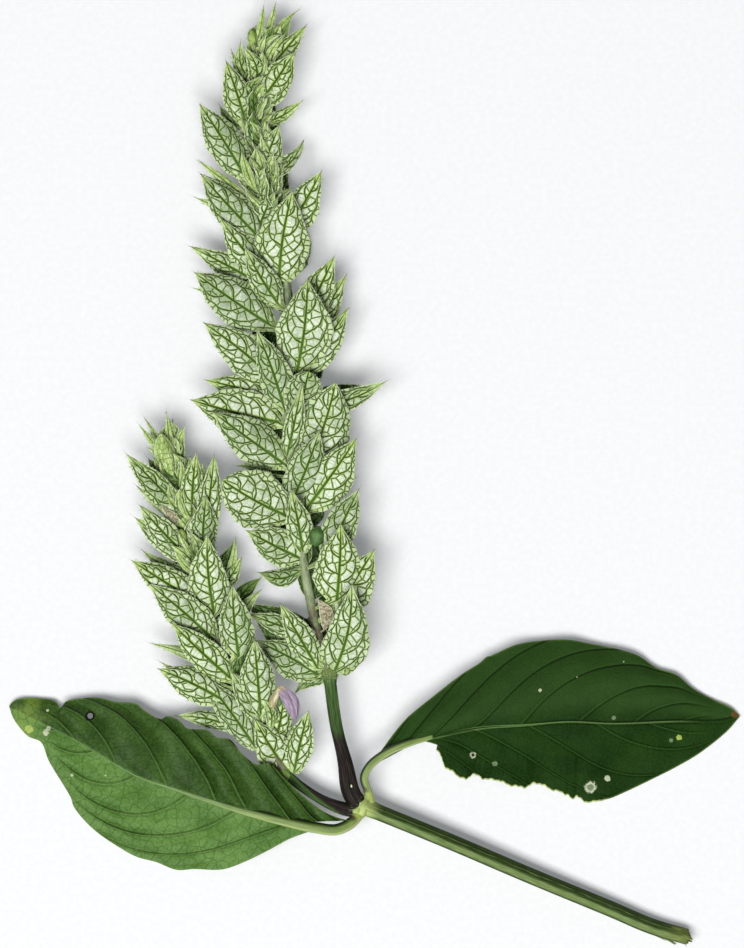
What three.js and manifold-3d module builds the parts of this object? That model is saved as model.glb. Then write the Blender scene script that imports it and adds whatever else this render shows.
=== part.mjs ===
// A cut sprig of white shrimp plant lying on a surface: a four-angled stem, two leaves, and two spikes of
// overlapping, keeled bracts. Millimetres, +Z up, the surface at z = 0, the spikes running towards +Y.

import * as THREE from 'three';
import { mergeVertices } from 'three/addons/utils/BufferGeometryUtils.js';
import Module from 'manifold-3d';

const wasm = await Module();
wasm.setup();
const { Manifold, Mesh: SolidMesh } = wasm;

// ---------------------------------------------------------------- driving dimensions, mm

const SQUARE = 0.2;            // one square of the drawing sheet that the plan lists below count in
const SHEET_ORIGIN = [375, 472]; // the square over the part's origin; squares count right and down

const STEM_HALF = 1.85;        // half width of the internode, at the node
const STEM_END_HALF = 2.0;     // and at the cut
const ANGLE_REACH = 1.08;      // the stem's four angles stand out this far, of its half width
const GROOVE_REACH = 0.92;     // and the grooves between them lie this far out
const NODE_RADIUS = 2.2;       // swollen node
const NODE_STRETCH = 1.15;     // it is this much longer than wide
const NODE_TURN = 110;         // the way its length points, in degrees
const PEDUNCLE_HALF = 1.85;    // main peduncle at the node
const PEDUNCLE_TOP_HALF = 1.35; // and under the spike
const SIDE_PEDUNCLE_HALF = 1.1;
const RACHIS_RADIUS = 1.05;    // at a spike's foot
const RACHIS_TIP_RADIUS = 0.5;
const PETIOLE_RADIUS = 0.9;
const MIDRIB_TIP_RADIUS = 0.4;
const PIECE_GAP = 0.3;         // clearance between pieces that touch
const FINEST = 0.02;           // detail finer than this is smoothed away where bracts grow together
const SAME_POINT = 1e-4;       // corners closer than this are one corner

const LEAF_THICKNESS = 0.7;
const BRACT_THICKNESS = 0.7;
const BRACT_LIFT = 0.46;       // slope of a bract at its root, against its rachis
const BRACT_EASE = 0.008;      // how fast that slope eases along the bract, per mm
const BRACT_KEEL = 0.2;        // how far the margins fall behind the midrib, of the half width
const CLAW_BACK = 1.2;         // a bract's claw leaves the rachis this far behind its root
const FIRST_CLAW = 0.6;        // but no nearer to the rachis's foot than this
const CLAW_HALF = 0.35;
const CLAW_SHARE = 1 / 3;      // a narrow bract's claw is this wide, of its width
const BROAD_BRACT = 7.0;       // bracts at least this wide get one more row
const SURFACE_BRACT_LIFT = 1.0; // how steeply the bracts on the underside leave the rachis
const LOWEST = BRACT_THICKNESS / 2; // a blade's middle is never lower than this
const UNDER_LAYER = 0.06;      // pressed bracts lie this far above one another, in turns of so many:
const UNDER_LAYERS = 4;
const UNDER_TAPER = 0.45;      // how much smaller they are at a spike's top than at its foot
const UNDER_SPREAD = { turn: 16, length: 2.5, width: 1.6 }; // how far they differ from one another

// How finely each piece is divided along its length.
const STEM_STEPS = 10;
const PEDUNCLE_STEPS = 8;
const SIDE_PEDUNCLE_STEPS = 7;
const RACHIS_STEPS = 14;
const STALK_STEPS = 11;
const COROLLA_TUBE_STEPS = 4;
const LEAF_ROWS = 30;
const RACHIS_MARKS = 200;      // places on a rachis where a bract may be seated
const SWELLING_SIDES = 8;      // round a node or a bud
const SWELLING_BANDS = 6;      // and along it

// ---------------------------------------------------------------- plan lists, in squares, heights in mm

// [x, y, height of the middle]
const STEM_ROUTE = [[363, 804, 5.0], [446, 841, 4.3], [530, 877, 3.4], [612, 909, 2.6], [690, 939.5, 2.0]];
const PEDUNCLE_ROUTE = [[361, 808, 5.0], [351, 792, 5.6], [345, 762, 6.2], [336, 724, 6.7], [328, 667, 7.0]];
const SIDE_PEDUNCLE_ROUTE = [[360, 812, 4.9], [345, 812, 4.8], [326, 805, 4.7], [303, 789, 4.6], [286, 774, 4.6]];
const NODE_AT = [361, 807, 5.0];

const MAIN_RACHIS = [
  [329, 672, 7.0], [318, 635, 6.8], [303, 560, 6.3], [290, 465, 5.7], [286, 420, 5.5],
  [287, 285, 5.0], [268, 200, 4.7], [255, 120, 4.5], [258, 80, 4.5], [263, 42, 4.5],
];
const SIDE_RACHIS = [
  [286, 774, 4.6], [262, 735, 4.8], [243, 700, 4.9], [225, 660, 4.9], [208, 610, 4.8],
  [195, 560, 4.6], [185, 510, 4.4], [175, 465, 4.3], [169, 440, 4.3],
];

// One row a bract, from a spike's foot to its top: root x, y, tip x, y, width, then how steeply it lifts
// towards +Z (1 is a bract's usual lift, 0 lies level) and its roll about its own midrib in degrees.
const MAIN_BRACTS = [
  [318, 674, 255, 640, 37, -0.15], [310, 635, 247, 613, 22, -0.3], [326, 678, 295, 693, 15, -0.45],
  [338, 668, 352, 583, 43, 1.3], [318, 668, 280, 602, 28, 0.9], [326, 628, 317, 598, 14, 0.9],
  [338, 612, 375, 549, 43, 0.7], [337, 600, 341, 523, 49, 1.1], [326, 560, 359, 489, 34, 0.8],
  [303, 569, 258, 572, 19, 0.2], [300, 558, 246, 530, 38, 0.6], [303, 552, 291, 488, 27, 1.2],
  [290, 517, 223, 480, 58, 0.9], [320, 500, 357, 477, 12, 0.2], [307, 508, 357, 438, 45, 0.9],
  [290, 505, 320, 430, 38, 1.2], [286, 465, 213, 412, 42, 0.9], [270, 475, 236, 466, 10, 0.1],
  [286, 460, 303, 381, 20, 1.0], [308, 465, 336, 383, 56, 0.8], [278, 422, 191, 400, 48, 0.7],
  [276, 400, 205, 380, 28, 0.5], [285, 410, 257, 330, 33, 1.1], [298, 420, 309, 372, 38, 1.0],
  [300, 405, 387, 381, 24, 0.4], [275, 380, 204, 323, 40, 0.7], [297, 372, 308, 280, 56, 1.2],
  [308, 372, 349, 308, 30, 0.6], [305, 345, 347, 274, 28, 0.3], [298, 325, 335, 256, 34, 0.7],
  [272, 326, 195, 273, 46, 0.8], [250, 305, 193, 288, 14, 0.1], [279, 305, 245, 248, 28, 1.0],
  [262, 285, 189, 246, 28, 0.4], [266, 275, 221, 219, 30, 0.8], [279, 280, 293, 192, 54, 1.1],
  [280, 240, 322, 171, 37, 0.8], [262, 240, 201, 175, 38, 0.9], [250, 215, 194, 197, 12, 0.1],
  [258, 232, 275, 192, 22, 1.0], [262, 212, 293, 188, 12, 0.6], [252, 208, 199, 173, 10, 0.6],
  [252, 203, 198, 161, 10, 0.8], [254, 188, 242, 152, 10, 1.2], [262, 192, 275, 150, 10, 0.9],
  [246, 178, 200, 105, 36, 0.9], [258, 178, 280, 125, 28, 0.9], [266, 178, 304, 140, 20, 0.6, -35],
  [247, 125, 226, 61, 30, 1.0], [262, 124, 303, 101, 14, 0.6], [256, 108, 295, 53, 32, 1.1],
  [258, 82, 307, 25, 24, 0.5], [252, 92, 231, 49, 10, 0.7], [253, 84, 241, 42, 16, 0.9],
  [256, 76, 248, 33, 11, 0.9], [259, 62, 264, 5, 10, 0.9], [262, 60, 276, 2, 10, 0.6],
  [264, 68, 287, 33, 8, 0.8], [266, 56, 299, 11, 10, 0.5], [308, 398, 372, 391, 21, 0.25],
  [318, 650, 246, 602, 42, -0.5], [262, 64, 291, 18, 14, 0.3], [246, 128, 219, 104, 12, 0.4],
  [254, 92, 244, 48, 19, 1.2],
];
const SIDE_BRACTS = [
  [294, 773, 309, 710, 28, 0.7], [289, 773, 254, 717, 37, 0.5], [275, 742, 283, 704, 25, 0.3],
  [256, 748, 203, 675, 30, 0.3], [236, 728, 174, 716, 18, -0.2], [262, 722, 232, 672, 25, 0.8],
  [261, 714, 255, 638, 36, 1.3], [224, 700, 158, 668, 35, 0.7], [228, 688, 159, 660, 13, 0.4],
  [233, 680, 172, 622, 32, 1.0], [226, 672, 150, 643, 13, 0.4], [239, 656, 233, 584, 36, 1.3],
  [214, 640, 149, 583, 38, 0.9], [222, 596, 236, 536, 9, 0.5], [220, 592, 242, 557, 17, 0.7],
  [214, 612, 208, 534, 41, 1.3], [203, 605, 132, 560, 33, 0.9], [192, 575, 141, 549, 13, 0.5],
  [203, 552, 207, 495, 28, 1.3], [188, 562, 135, 517, 22, 0.6], [187, 556, 140, 505, 26, 0.9],
  [204, 545, 215, 454, 24, 1.0], [186, 522, 136, 485, 9, 0.5], [192, 522, 197, 452, 25, 0.9],
  [206, 520, 219, 490, 8, 0.6], [192, 510, 203, 462, 18, 0.7], [182, 512, 126, 453, 25, 0.9, 15],
  [180, 498, 150, 461, 18, 0.3], [184, 492, 190, 456, 15, 1.1, -25], [172, 480, 147, 447, 12, 0.5],
  [180, 480, 185, 425, 17, 0.6], [172, 470, 150, 432, 10, 0.5], [176, 468, 139, 424, 9, 0.8],
  [173, 466, 144, 417, 7, 0.5], [173, 478, 161, 434, 20, 1.3], [174, 466, 173, 418, 8, 0.5],
  [172, 468, 167, 412, 8, 0.8], [181, 496, 148, 458, 27, 0.5], [232, 612, 262, 577, 17, 0.2],
  [236, 628, 262, 589, 13, 0.6], [221, 578, 233, 542, 20, 0.2], [236, 676, 253, 640, 17, 0.7],
  [196, 500, 190, 462, 16, 0.5],
];

// Bracts of the underside: how many, their usual size, how far they turn from the rachis, in degrees, and
// which of them has fallen off.
const MAIN_UNDER = { count: 18, first: 3, step: 6.4, length: 16.5, width: 8.6, turn: 24, seed: 11, lost: 1 };
const SIDE_UNDER = { count: 12, first: 3, step: 5.5, length: 13.5, width: 6.6, turn: 24, seed: 29, lost: null };

// Swollen green bodies among the bracts: x, y, height above the rachis, half length, half width, turn.
const MAIN_BUDS = [[317, 536, 2.4, 2.1, 1.5, 80], [252, 37, 1.9, 1.5, 0.9, 100], [273, 178, 1.3, 1.6, 0.8, 80]];
const SIDE_BUDS = [[182, 536, 1.6, 1.5, 1.0, 100], [285, 774, 0.1, 1.7, 1.2, 130]];

// Leaves: [x, y, height] along the petiole and the midrib; [x, y] along each edge from the leaf's foot to
// its tip; and, as [share of the length, height], how each half folds half way out and droops at its edge.
const LEFT_LEAF = {
  petiole: [[360, 812, 6.1], [352, 823, 6.6], [337, 830, 7.0], [315, 828, 7.2]],
  midrib: [[290, 822, 7.3], [242, 810, 7.3], [206, 799, 7.0], [170, 787, 6.3], [138, 776, 5.5],
    [97, 753, 3.8], [73, 739, 2.8], [51, 728, 1.8], [8, 707, 0.6]],
  edgeA: [[345, 826], [324, 813], [305, 798], [286, 779], [269, 763], [257, 764], [242, 753], [230, 739],
    [217, 737], [208, 730], [187, 728], [179, 720], [167, 716], [161, 719], [145, 711], [136, 704],
    [116, 702], [97, 698], [79, 699], [65, 702], [60, 708], [55, 702], [41, 699], [19, 699], [12, 702]],
  edgeB: [[310, 831], [291, 838], [269, 850], [247, 861], [223, 870], [194, 870], [176, 871], [155, 863],
    [136, 858], [116, 847], [90, 828], [73, 808], [70, 799], [48, 762], [40, 743], [27, 737], [13, 720]],
  foldA: [[0, 7.3], [0.15, 7.9], [0.5, 7.6], [0.62, 6.3], [0.8, 3.4], [0.93, 1.5], [1, 0.6]],
  droopA: [[0, 7.2], [0.15, 7.5], [0.35, 7.2], [0.5, 5.8], [0.62, 3.8], [0.8, 1.8], [0.93, 0.9], [1, 0.6]],
  foldB: [[0, 7.2], [0.15, 6.0], [0.3, 4.2], [0.42, 2.2], [0.52, 0.35], [0.84, 0.35], [0.94, 0.7], [1, 0.6]],
  droopB: [[0, 7.0], [0.15, 3.8], [0.28, 1.4], [0.36, 0.35], [0.9, 0.35], [1, 0.5]],
};
const RIGHT_LEAF = {
  petiole: [[364, 800, 5.9], [363, 781, 6.2], [370, 765, 6.3], [387, 752, 6.2], [405, 744, 6.0]],
  midrib: [[422, 739, 5.8], [476, 728, 5.5], [526, 725, 5.1], [569, 722, 4.5], [614, 724, 3.7],
    [677, 722, 2.2], [722, 722, 1.0], [741, 717, 0.5]],
  edgeA: [[368, 768], [380, 752], [405, 720], [435, 695], [461, 675], [480, 663], [491, 656], [516, 645],
    [541, 641], [569, 640], [591, 644], [621, 650], [639, 656], [657, 668], [677, 675], [694, 689],
    [714, 700], [733, 709]],
  edgeB: [[424, 741], [434, 744], [439, 748], [440, 756], [444, 768], [452, 774], [466, 782], [472, 777],
    [486, 782], [498, 783], [507, 787], [526, 790], [536, 786], [553, 793], [568, 798], [576, 800],
    [586, 805], [609, 800], [626, 793], [651, 781], [677, 768], [702, 753], [727, 733]],
  foldA: [[0, 6.2], [0.2, 6.2], [0.5, 5.6], [0.75, 3.6], [0.9, 1.6], [1, 0.5]],
  droopA: [[0, 5.6], [0.2, 4.4], [0.4, 2.6], [0.75, 1.5], [0.9, 0.9], [1, 0.5]],
  foldB: [[0, 5.9], [0.15, 5.4], [0.35, 4.0], [0.5, 2.4], [0.62, 0.9], [0.7, 0.35], [0.88, 0.35], [1, 0.5]],
  droopB: [[0, 5.8], [0.15, 4.0], [0.35, 1.6], [0.5, 0.5], [0.6, 0.35], [0.9, 0.35], [1, 0.5]],
};
const LEAF_FOLD = 0.55;        // where each half folds, from the midrib to the edge

// The wilted flower: [x, y, height] along its tube; its lip hangs from root to tip, with a fold along the
// middle, and outline holds [share of its length, share of its width].
const COROLLA_TUBE = [[272, 706, 7.2], [275, 697, 7.9], [280, 688, 8.5]];
const COROLLA_TUBE_RADIUS = 0.75;
const COROLLA_LIP = {
  root: [279, 686, 8.8], tip: [296, 719, 8.4], width: 3.1, thickness: 0.6, fold: 0.5,
  outline: [[0, 0.4], [0.35, 0.9], [0.7, 1]],
};

// ---------------------------------------------------------------- small tools

const UP = new THREE.Vector3(0, 0, 1);

function onSheet([x, y, z = 0]) {
  return new THREE.Vector3((x - SHEET_ORIGIN[0]) * SQUARE, (SHEET_ORIGIN[1] - y) * SQUARE, z);
}

// A repeatable stream of numbers between 0 and 1: the generator known as mulberry32.
function seeded(seed) {
  let state = seed;
  return () => {
    state = (state + 0x6d2b79f5) | 0;
    let mixed = Math.imul(state ^ (state >>> 15), 1 | state);
    mixed = (mixed + Math.imul(mixed ^ (mixed >>> 7), 61 | mixed)) ^ mixed;
    return ((mixed ^ (mixed >>> 14)) >>> 0) / 4294967296;
  };
}

// Straight-line reading of a list of [share, value].
function readProfile(profile, share) {
  let k = 1;
  while (k < profile.length - 1 && profile[k][0] < share) k += 1;
  const [s0, v0] = profile[k - 1];
  const [s1, v1] = profile[k];
  return THREE.MathUtils.mapLinear(THREE.MathUtils.clamp(share, s0, s1), s0, s1, v0, v1);
}

function geometryOf(points, triangles) {
  const geometry = new THREE.BufferGeometry().setFromPoints(points);
  geometry.setIndex(triangles.flat());
  return geometry;
}

function solidOf(geometry) {
  const bare = geometry.clone();
  bare.deleteAttribute('normal');
  bare.deleteAttribute('uv');
  const merged = mergeVertices(bare, SAME_POINT);
  const vertProperties = new Float32Array(merged.attributes.position.array);
  const triVerts = new Uint32Array(merged.index.array);
  return new Manifold(new SolidMesh({ numProp: 3, vertProperties, triVerts }));
}

// A union leaves slivers, and sealed voids and crumbs as bodies of their own: slivers finer than FINEST are
// closed up, and the largest body is the piece.
function largestBody(solid) {
  const bodies = solid.simplify(FINEST).decompose();
  return bodies.reduce((best, body) => (body.volume() > best.volume() ? body : best));
}

function meshOf(name, solid, material) {
  const { vertProperties, triVerts } = largestBody(solid).getMesh();
  const geometry = new THREE.BufferGeometry();
  geometry.setAttribute('position', new THREE.BufferAttribute(vertProperties, 3));
  geometry.setIndex(new THREE.BufferAttribute(triVerts, 1));
  geometry.computeVertexNormals();
  const mesh = new THREE.Mesh(geometry, material);
  mesh.name = name;
  return mesh;
}

// ---------------------------------------------------------------- stems: a section swept along a route

// Corners round a section: [degrees, share of the half width].
const evenSection = (corners, first, reachOf = () => 1) => Array.from(
  { length: corners }, (_, k) => [k * 360 / corners + first, reachOf(k)]);
const ROUND_SECTION = evenSection(6, 0);
const STALK_SECTION = evenSection(5, 90);
// Four blunt angles with a groove down each side.
const FOUR_ANGLED_SECTION = evenSection(8, 22.5, (k) => (k % 2 ? ANGLE_REACH : GROOVE_REACH));

function sweptSolid(route, halfWidthAt, section, steps) {
  const curve = new THREE.CatmullRomCurve3(route);
  const points = [];
  const triangles = [];
  const sides = section.length;
  for (let i = 0; i <= steps; i += 1) {
    const middle = curve.getPointAt(i / steps);
    const along = curve.getTangentAt(i / steps);
    const across = new THREE.Vector3().crossVectors(UP, along).normalize();
    const above = new THREE.Vector3().crossVectors(along, across);
    for (const [degrees, reach] of section) {
      const angle = THREE.MathUtils.degToRad(degrees);
      const radius = halfWidthAt(i / steps) * reach;
      points.push(middle.clone()
        .addScaledVector(across, radius * Math.cos(angle))
        .addScaledVector(above, radius * Math.sin(angle)));
    }
  }
  for (let i = 0; i < steps; i += 1) {
    for (let k = 0; k < sides; k += 1) {
      const a = i * sides + k;
      const b = i * sides + ((k + 1) % sides);
      triangles.push([a, b, b + sides], [a, b + sides, a + sides]);
    }
  }
  const first = points.push(curve.getPointAt(0)) - 1;
  const last = points.push(curve.getPointAt(1)) - 1;
  for (let k = 0; k < sides; k += 1) {
    const next = (k + 1) % sides;
    triangles.push([first, next, k], [last, steps * sides + k, steps * sides + next]);
  }
  return solidOf(geometryOf(points, triangles));
}

function ellipsoid(middle, halfLength, halfWidth, turnDegrees) {
  const geometry = new THREE.SphereGeometry(1, SWELLING_SIDES, SWELLING_BANDS);
  geometry.rotateZ(Math.PI / 2);
  geometry.scale(halfLength, halfWidth, halfWidth);
  geometry.rotateZ(THREE.MathUtils.degToRad(turnDegrees));
  geometry.translate(middle.x, middle.y, middle.z);
  return solidOf(geometry);
}

// The stem, or, with extra, the room that its neighbours leave free round it and past its ends.
function stemSolid(extra = 0) {
  const taper = (from, to) => (t) => THREE.MathUtils.lerp(from, to, t) + extra;
  const lengthened = (route) => {
    const points = route.map(onSheet);
    const [before, end] = points.slice(-2);
    end.addScaledVector(end.clone().sub(before).normalize(), extra);
    return points;
  };
  const internode = sweptSolid(
    lengthened(STEM_ROUTE), taper(STEM_HALF, STEM_END_HALF), FOUR_ANGLED_SECTION, STEM_STEPS);
  const peduncle = sweptSolid(
    lengthened(PEDUNCLE_ROUTE), taper(PEDUNCLE_HALF, PEDUNCLE_TOP_HALF), FOUR_ANGLED_SECTION, PEDUNCLE_STEPS);
  const side = sweptSolid(
    lengthened(SIDE_PEDUNCLE_ROUTE), () => SIDE_PEDUNCLE_HALF + extra, ROUND_SECTION, SIDE_PEDUNCLE_STEPS);
  const node = ellipsoid(
    onSheet(NODE_AT), NODE_RADIUS * NODE_STRETCH + extra, NODE_RADIUS + extra, NODE_TURN);
  return Manifold.union([internode, peduncle, side, node]);
}

// ---------------------------------------------------------------- blades: rows of points, made thick

// Rows of points across a blade, from its foot up, close on one tip point. Both faces are split alike.
function bladeSolid(rows, tip, thicknessWay) {
  const across = rows[0].length;
  const middle = [...rows.flat(), tip];
  const count = middle.length;
  const points = [
    ...middle.map((p) => p.clone().add(thicknessWay)),
    ...middle.map((p) => p.clone().sub(thicknessWay)),
  ];
  const triangles = [];
  const bothFaces = (a, b, c) => triangles.push([a, b, c], [a + count, c + count, b + count]);
  const wall = (a, b) => triangles.push([a, b, b + count], [a, b + count, a + count]);
  for (let i = 0; i < rows.length - 1; i += 1) {
    for (let k = 0; k < across - 1; k += 1) {
      const a = i * across + k;
      const leansLeft = k < (across - 1) / 2;
      if (leansLeft) {
        bothFaces(a, a + 1, a + across);
        bothFaces(a + 1, a + 1 + across, a + across);
      } else {
        bothFaces(a, a + 1, a + 1 + across);
        bothFaces(a, a + 1 + across, a + across);
      }
    }
    wall(i * across, (i + 1) * across);
    wall((i + 2) * across - 1, (i + 1) * across - 1);
  }
  const lastRow = (rows.length - 1) * across;
  const tipPoint = count - 1;
  for (let k = 0; k < across - 1; k += 1) {
    bothFaces(lastRow + k, lastRow + k + 1, tipPoint);
    wall(k + 1, k);
  }
  wall(lastRow, tipPoint);
  wall(tipPoint, lastRow + across - 1);
  return solidOf(geometryOf(points, triangles));
}

// Width along a bract: [share of its length, share of its width].
const BROAD_OUTLINE = [[0.2, 0.74], [0.45, 1], [0.75, 0.6]];
const NARROW_OUTLINE = [[0.33, 0.96], [0.7, 0.66]];

// Height that a bract gains at a distance from its claw: steep at first, then easing.
const rise = (distance) => BRACT_LIFT * distance - BRACT_EASE * distance * distance;

// A bract from its claw on the rachis to its tip. outward is 1 where its back faces +Z, -1 where it faces
// the surface.
function bractSolid(rachis, { root, tip, width, lift, roll, outward, lowest = LOWEST }) {
  const claw = rachis.pointBehind(root, CLAW_BACK);
  const chord = new THREE.Vector3(tip.x - root.x, tip.y - root.y, 0).normalize();
  const level = new THREE.Vector3(-chord.y, chord.x, 0);
  const angle = THREE.MathUtils.degToRad(roll);
  const side = level.clone().multiplyScalar(Math.cos(angle)).addScaledVector(UP, Math.sin(angle));
  const back = new THREE.Vector3().crossVectors(chord, side);
  const settle = (point) => {
    point.z = Math.max(point.z, lowest);
    return point;
  };
  const place = (share) => {
    const point = root.clone().lerp(tip, share);
    const distance = Math.hypot(point.x - claw.x, point.y - claw.y);
    point.z = claw.z + lift * rise(distance);
    return point;
  };
  const rowAt = (middle, half) => [1, 0, -1].map((hand) => settle(middle.clone()
    .addScaledVector(side, hand * half)
    .addScaledVector(back, -outward * Math.abs(hand) * half * BRACT_KEEL)));
  const outline = width < BROAD_BRACT ? NARROW_OUTLINE : BROAD_OUTLINE;
  const rows = [
    rowAt(claw.clone(), Math.min(CLAW_HALF, width * CLAW_SHARE)),
    ...outline.map(([share, wide]) => rowAt(place(share), wide * width / 2)),
  ];
  return bladeSolid(rows, settle(place(1)), back.multiplyScalar(BRACT_THICKNESS / 2));
}

// ---------------------------------------------------------------- spikes

function rachisOf(route) {
  const points = route.map(onSheet);
  const curve = new THREE.CatmullRomCurve3(points);
  const length = curve.getLength();
  const marks = curve.getSpacedPoints(RACHIS_MARKS);
  return {
    points,
    length,
    at: (distance) => curve.getPointAt(THREE.MathUtils.clamp(distance / length, 0, 1)),
    wayAt: (distance) => curve.getTangentAt(THREE.MathUtils.clamp(distance / length, 0, 1)),
    // The point of the rachis nearest to a root, moved back towards the spike's foot.
    pointBehind(root, back) {
      const gaps = marks.map((p) => Math.hypot(p.x - root.x, p.y - root.y));
      const nearest = gaps.indexOf(Math.min(...gaps)) * length / RACHIS_MARKS;
      return this.at(Math.max(nearest - back, FIRST_CLAW));
    },
  };
}

function facingBracts(list) {
  return list.map(([x0, y0, x1, y1, squares, lift, roll = 0]) => ({
    root: onSheet([x0, y0]), tip: onSheet([x1, y1]), width: squares * SQUARE, lift, roll, outward: 1,
  }));
}

// Bracts against the surface, left and right in turn, smaller towards the spike's top.
function underBracts(rachis, { count, first, step, length, width, turn, seed, lost }) {
  const random = seeded(seed);
  const jitter = (spread) => (random() - 0.5) * spread;
  const bracts = Array.from({ length: count }, (_, k) => {
    const distance = first + k * step;
    const root = rachis.at(distance);
    const way = rachis.wayAt(distance);
    const taper = 1 - UNDER_TAPER * (distance / rachis.length) ** 2;
    const hand = k % 2 ? 1 : -1;
    const heading = Math.atan2(way.y, way.x)
      + THREE.MathUtils.degToRad(hand * turn + jitter(UNDER_SPREAD.turn));
    const reach = (length + jitter(UNDER_SPREAD.length)) * taper;
    const tip = root.clone().add(new THREE.Vector3(Math.cos(heading), Math.sin(heading), 0).multiplyScalar(reach));
    return {
      root,
      tip,
      width: (width + jitter(UNDER_SPREAD.width)) * taper,
      lift: -SURFACE_BRACT_LIFT,
      roll: 0,
      outward: -1,
      lowest: LOWEST + UNDER_LAYER * (k % UNDER_LAYERS),
    };
  });
  return bracts.filter((_, k) => k !== lost);
}

function spikeSolid(route, facing, under, buds) {
  const rachis = rachisOf(route);
  const radiusAt = (t) => THREE.MathUtils.lerp(RACHIS_RADIUS, RACHIS_TIP_RADIUS, t);
  const axis = sweptSolid(rachis.points, radiusAt, ROUND_SECTION, RACHIS_STEPS);
  const bracts = [...facingBracts(facing), ...underBracts(rachis, under)].map((b) => bractSolid(rachis, b));
  const swollen = buds.map(([x, y, above, halfLength, halfWidth, turn]) => {
    const middle = onSheet([x, y]);
    middle.z = rachis.pointBehind(middle, 0).z + above;
    return ellipsoid(middle, halfLength, halfWidth, turn);
  });
  return Manifold.union([axis, ...bracts, ...swollen]);
}

// ---------------------------------------------------------------- leaves

function leafSolid({ petiole, midrib, edgeA, edgeB, foldA, foldB, droopA, droopB }) {
  const ribPoints = midrib.map(onSheet);
  const tip = ribPoints[ribPoints.length - 1];
  const rib = new THREE.CatmullRomCurve3(ribPoints);
  const flatEdge = (edge) => new THREE.Path([...edge.map(onSheet), tip].map((p) => new THREE.Vector2(p.x, p.y)));
  const edges = [[flatEdge(edgeA), foldA, droopA], [flatEdge(edgeB), foldB, droopB]];
  const rows = Array.from({ length: LEAF_ROWS }, (_, i) => {
    const share = i / LEAF_ROWS;
    const middle = rib.getPointAt(share);
    const [[foldPointA, marginA], [foldPointB, marginB]] = edges.map(([edge, fold, droop]) => {
      const { x, y } = edge.getPointAt(share);
      const margin = new THREE.Vector3(x, y, readProfile(droop, share));
      const foldPoint = middle.clone().lerp(margin, LEAF_FOLD);
      foldPoint.z = readProfile(fold, share);
      return [foldPoint, margin];
    });
    return [marginB, foldPointB, middle, foldPointA, marginA];
  });
  const [firstMargin, , firstMiddle] = rows[1];
  const leftFirst = firstMargin.clone().sub(firstMiddle).cross(rib.getTangentAt(1 / LEAF_ROWS)).z < 0;
  const ordered = leftFirst ? rows : rows.map((row) => [...row].reverse());
  const blade = bladeSolid(ordered, tip, UP.clone().multiplyScalar(LEAF_THICKNESS / 2));
  const stalkRoute = [...petiole.map(onSheet), ...ribPoints.slice(0, -1)];
  const taper = (t) => THREE.MathUtils.lerp(PETIOLE_RADIUS, MIDRIB_TIP_RADIUS, t);
  const stalk = sweptSolid(stalkRoute, taper, STALK_SECTION, STALK_STEPS);
  return blade.add(stalk);
}

// ---------------------------------------------------------------- the wilted flower

function corollaSolid() {
  const { root, tip, width, thickness, fold, outline } = COROLLA_LIP;
  const from = onSheet(root);
  const to = onSheet(tip);
  const chord = to.clone().sub(from).normalize();
  const side = new THREE.Vector3().crossVectors(UP, chord).normalize();
  const rows = outline.map(([share, wide]) => [1, 0, -1].map((hand) => from.clone().lerp(to, share)
    .addScaledVector(side, hand * wide * width / 2)
    .addScaledVector(UP, -fold * Math.abs(hand) * wide)));
  const lip = bladeSolid(rows, to, UP.clone().multiplyScalar(thickness / 2));
  const tube = sweptSolid(
    COROLLA_TUBE.map(onSheet), () => COROLLA_TUBE_RADIUS, ROUND_SECTION, COROLLA_TUBE_STEPS);
  return lip.add(tube);
}

// A piece cut clear of its neighbour: the neighbour is taken away six times, once shifted each way.
function clearOf(piece, neighbour) {
  const ways = [[1, 0, 0], [-1, 0, 0], [0, 1, 0], [0, -1, 0], [0, 0, 1], [0, 0, -1]];
  return ways.reduce(
    (left, way) => left.subtract(neighbour.translate(way.map((v) => v * PIECE_GAP))), piece);
}

// ---------------------------------------------------------------- the sprig

function finish(color, roughness) {
  return new THREE.MeshStandardMaterial({ color, roughness, metalness: 0 });
}

const stem = stemSolid();
const roomRoundStem = stemSolid(PIECE_GAP);
const mainSpike = spikeSolid(MAIN_RACHIS, MAIN_BRACTS, MAIN_UNDER, MAIN_BUDS).subtract(roomRoundStem);
const sideSpike = spikeSolid(SIDE_RACHIS, SIDE_BRACTS, SIDE_UNDER, SIDE_BUDS).subtract(roomRoundStem);
const corolla = clearOf(clearOf(corollaSolid(), sideSpike), mainSpike);

const sprig = new THREE.Group();
sprig.add(
  meshOf('stem', stem, finish(0x5f7a3c, 0.6)),
  meshOf('leaf_left', leafSolid(LEFT_LEAF).subtract(roomRoundStem), finish(0x55743d, 0.55)),
  meshOf('leaf_right', leafSolid(RIGHT_LEAF).subtract(roomRoundStem), finish(0x324a2a, 0.45)),
  meshOf('main_spike', mainSpike, finish(0xbccda6, 0.7)),
  meshOf('side_spike', sideSpike, finish(0xb4c79b, 0.7)),
  meshOf('corolla', corolla, finish(0x94889a, 0.6)),
);

export default sprig;
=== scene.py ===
"""A cut sprig of white shrimp plant lying on a pale surface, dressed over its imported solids.

Lengths are millimetres until a mesh is made. +Z points up from the surface and the spikes run towards +Y.
"""

import math
from dataclasses import dataclass, field

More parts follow.
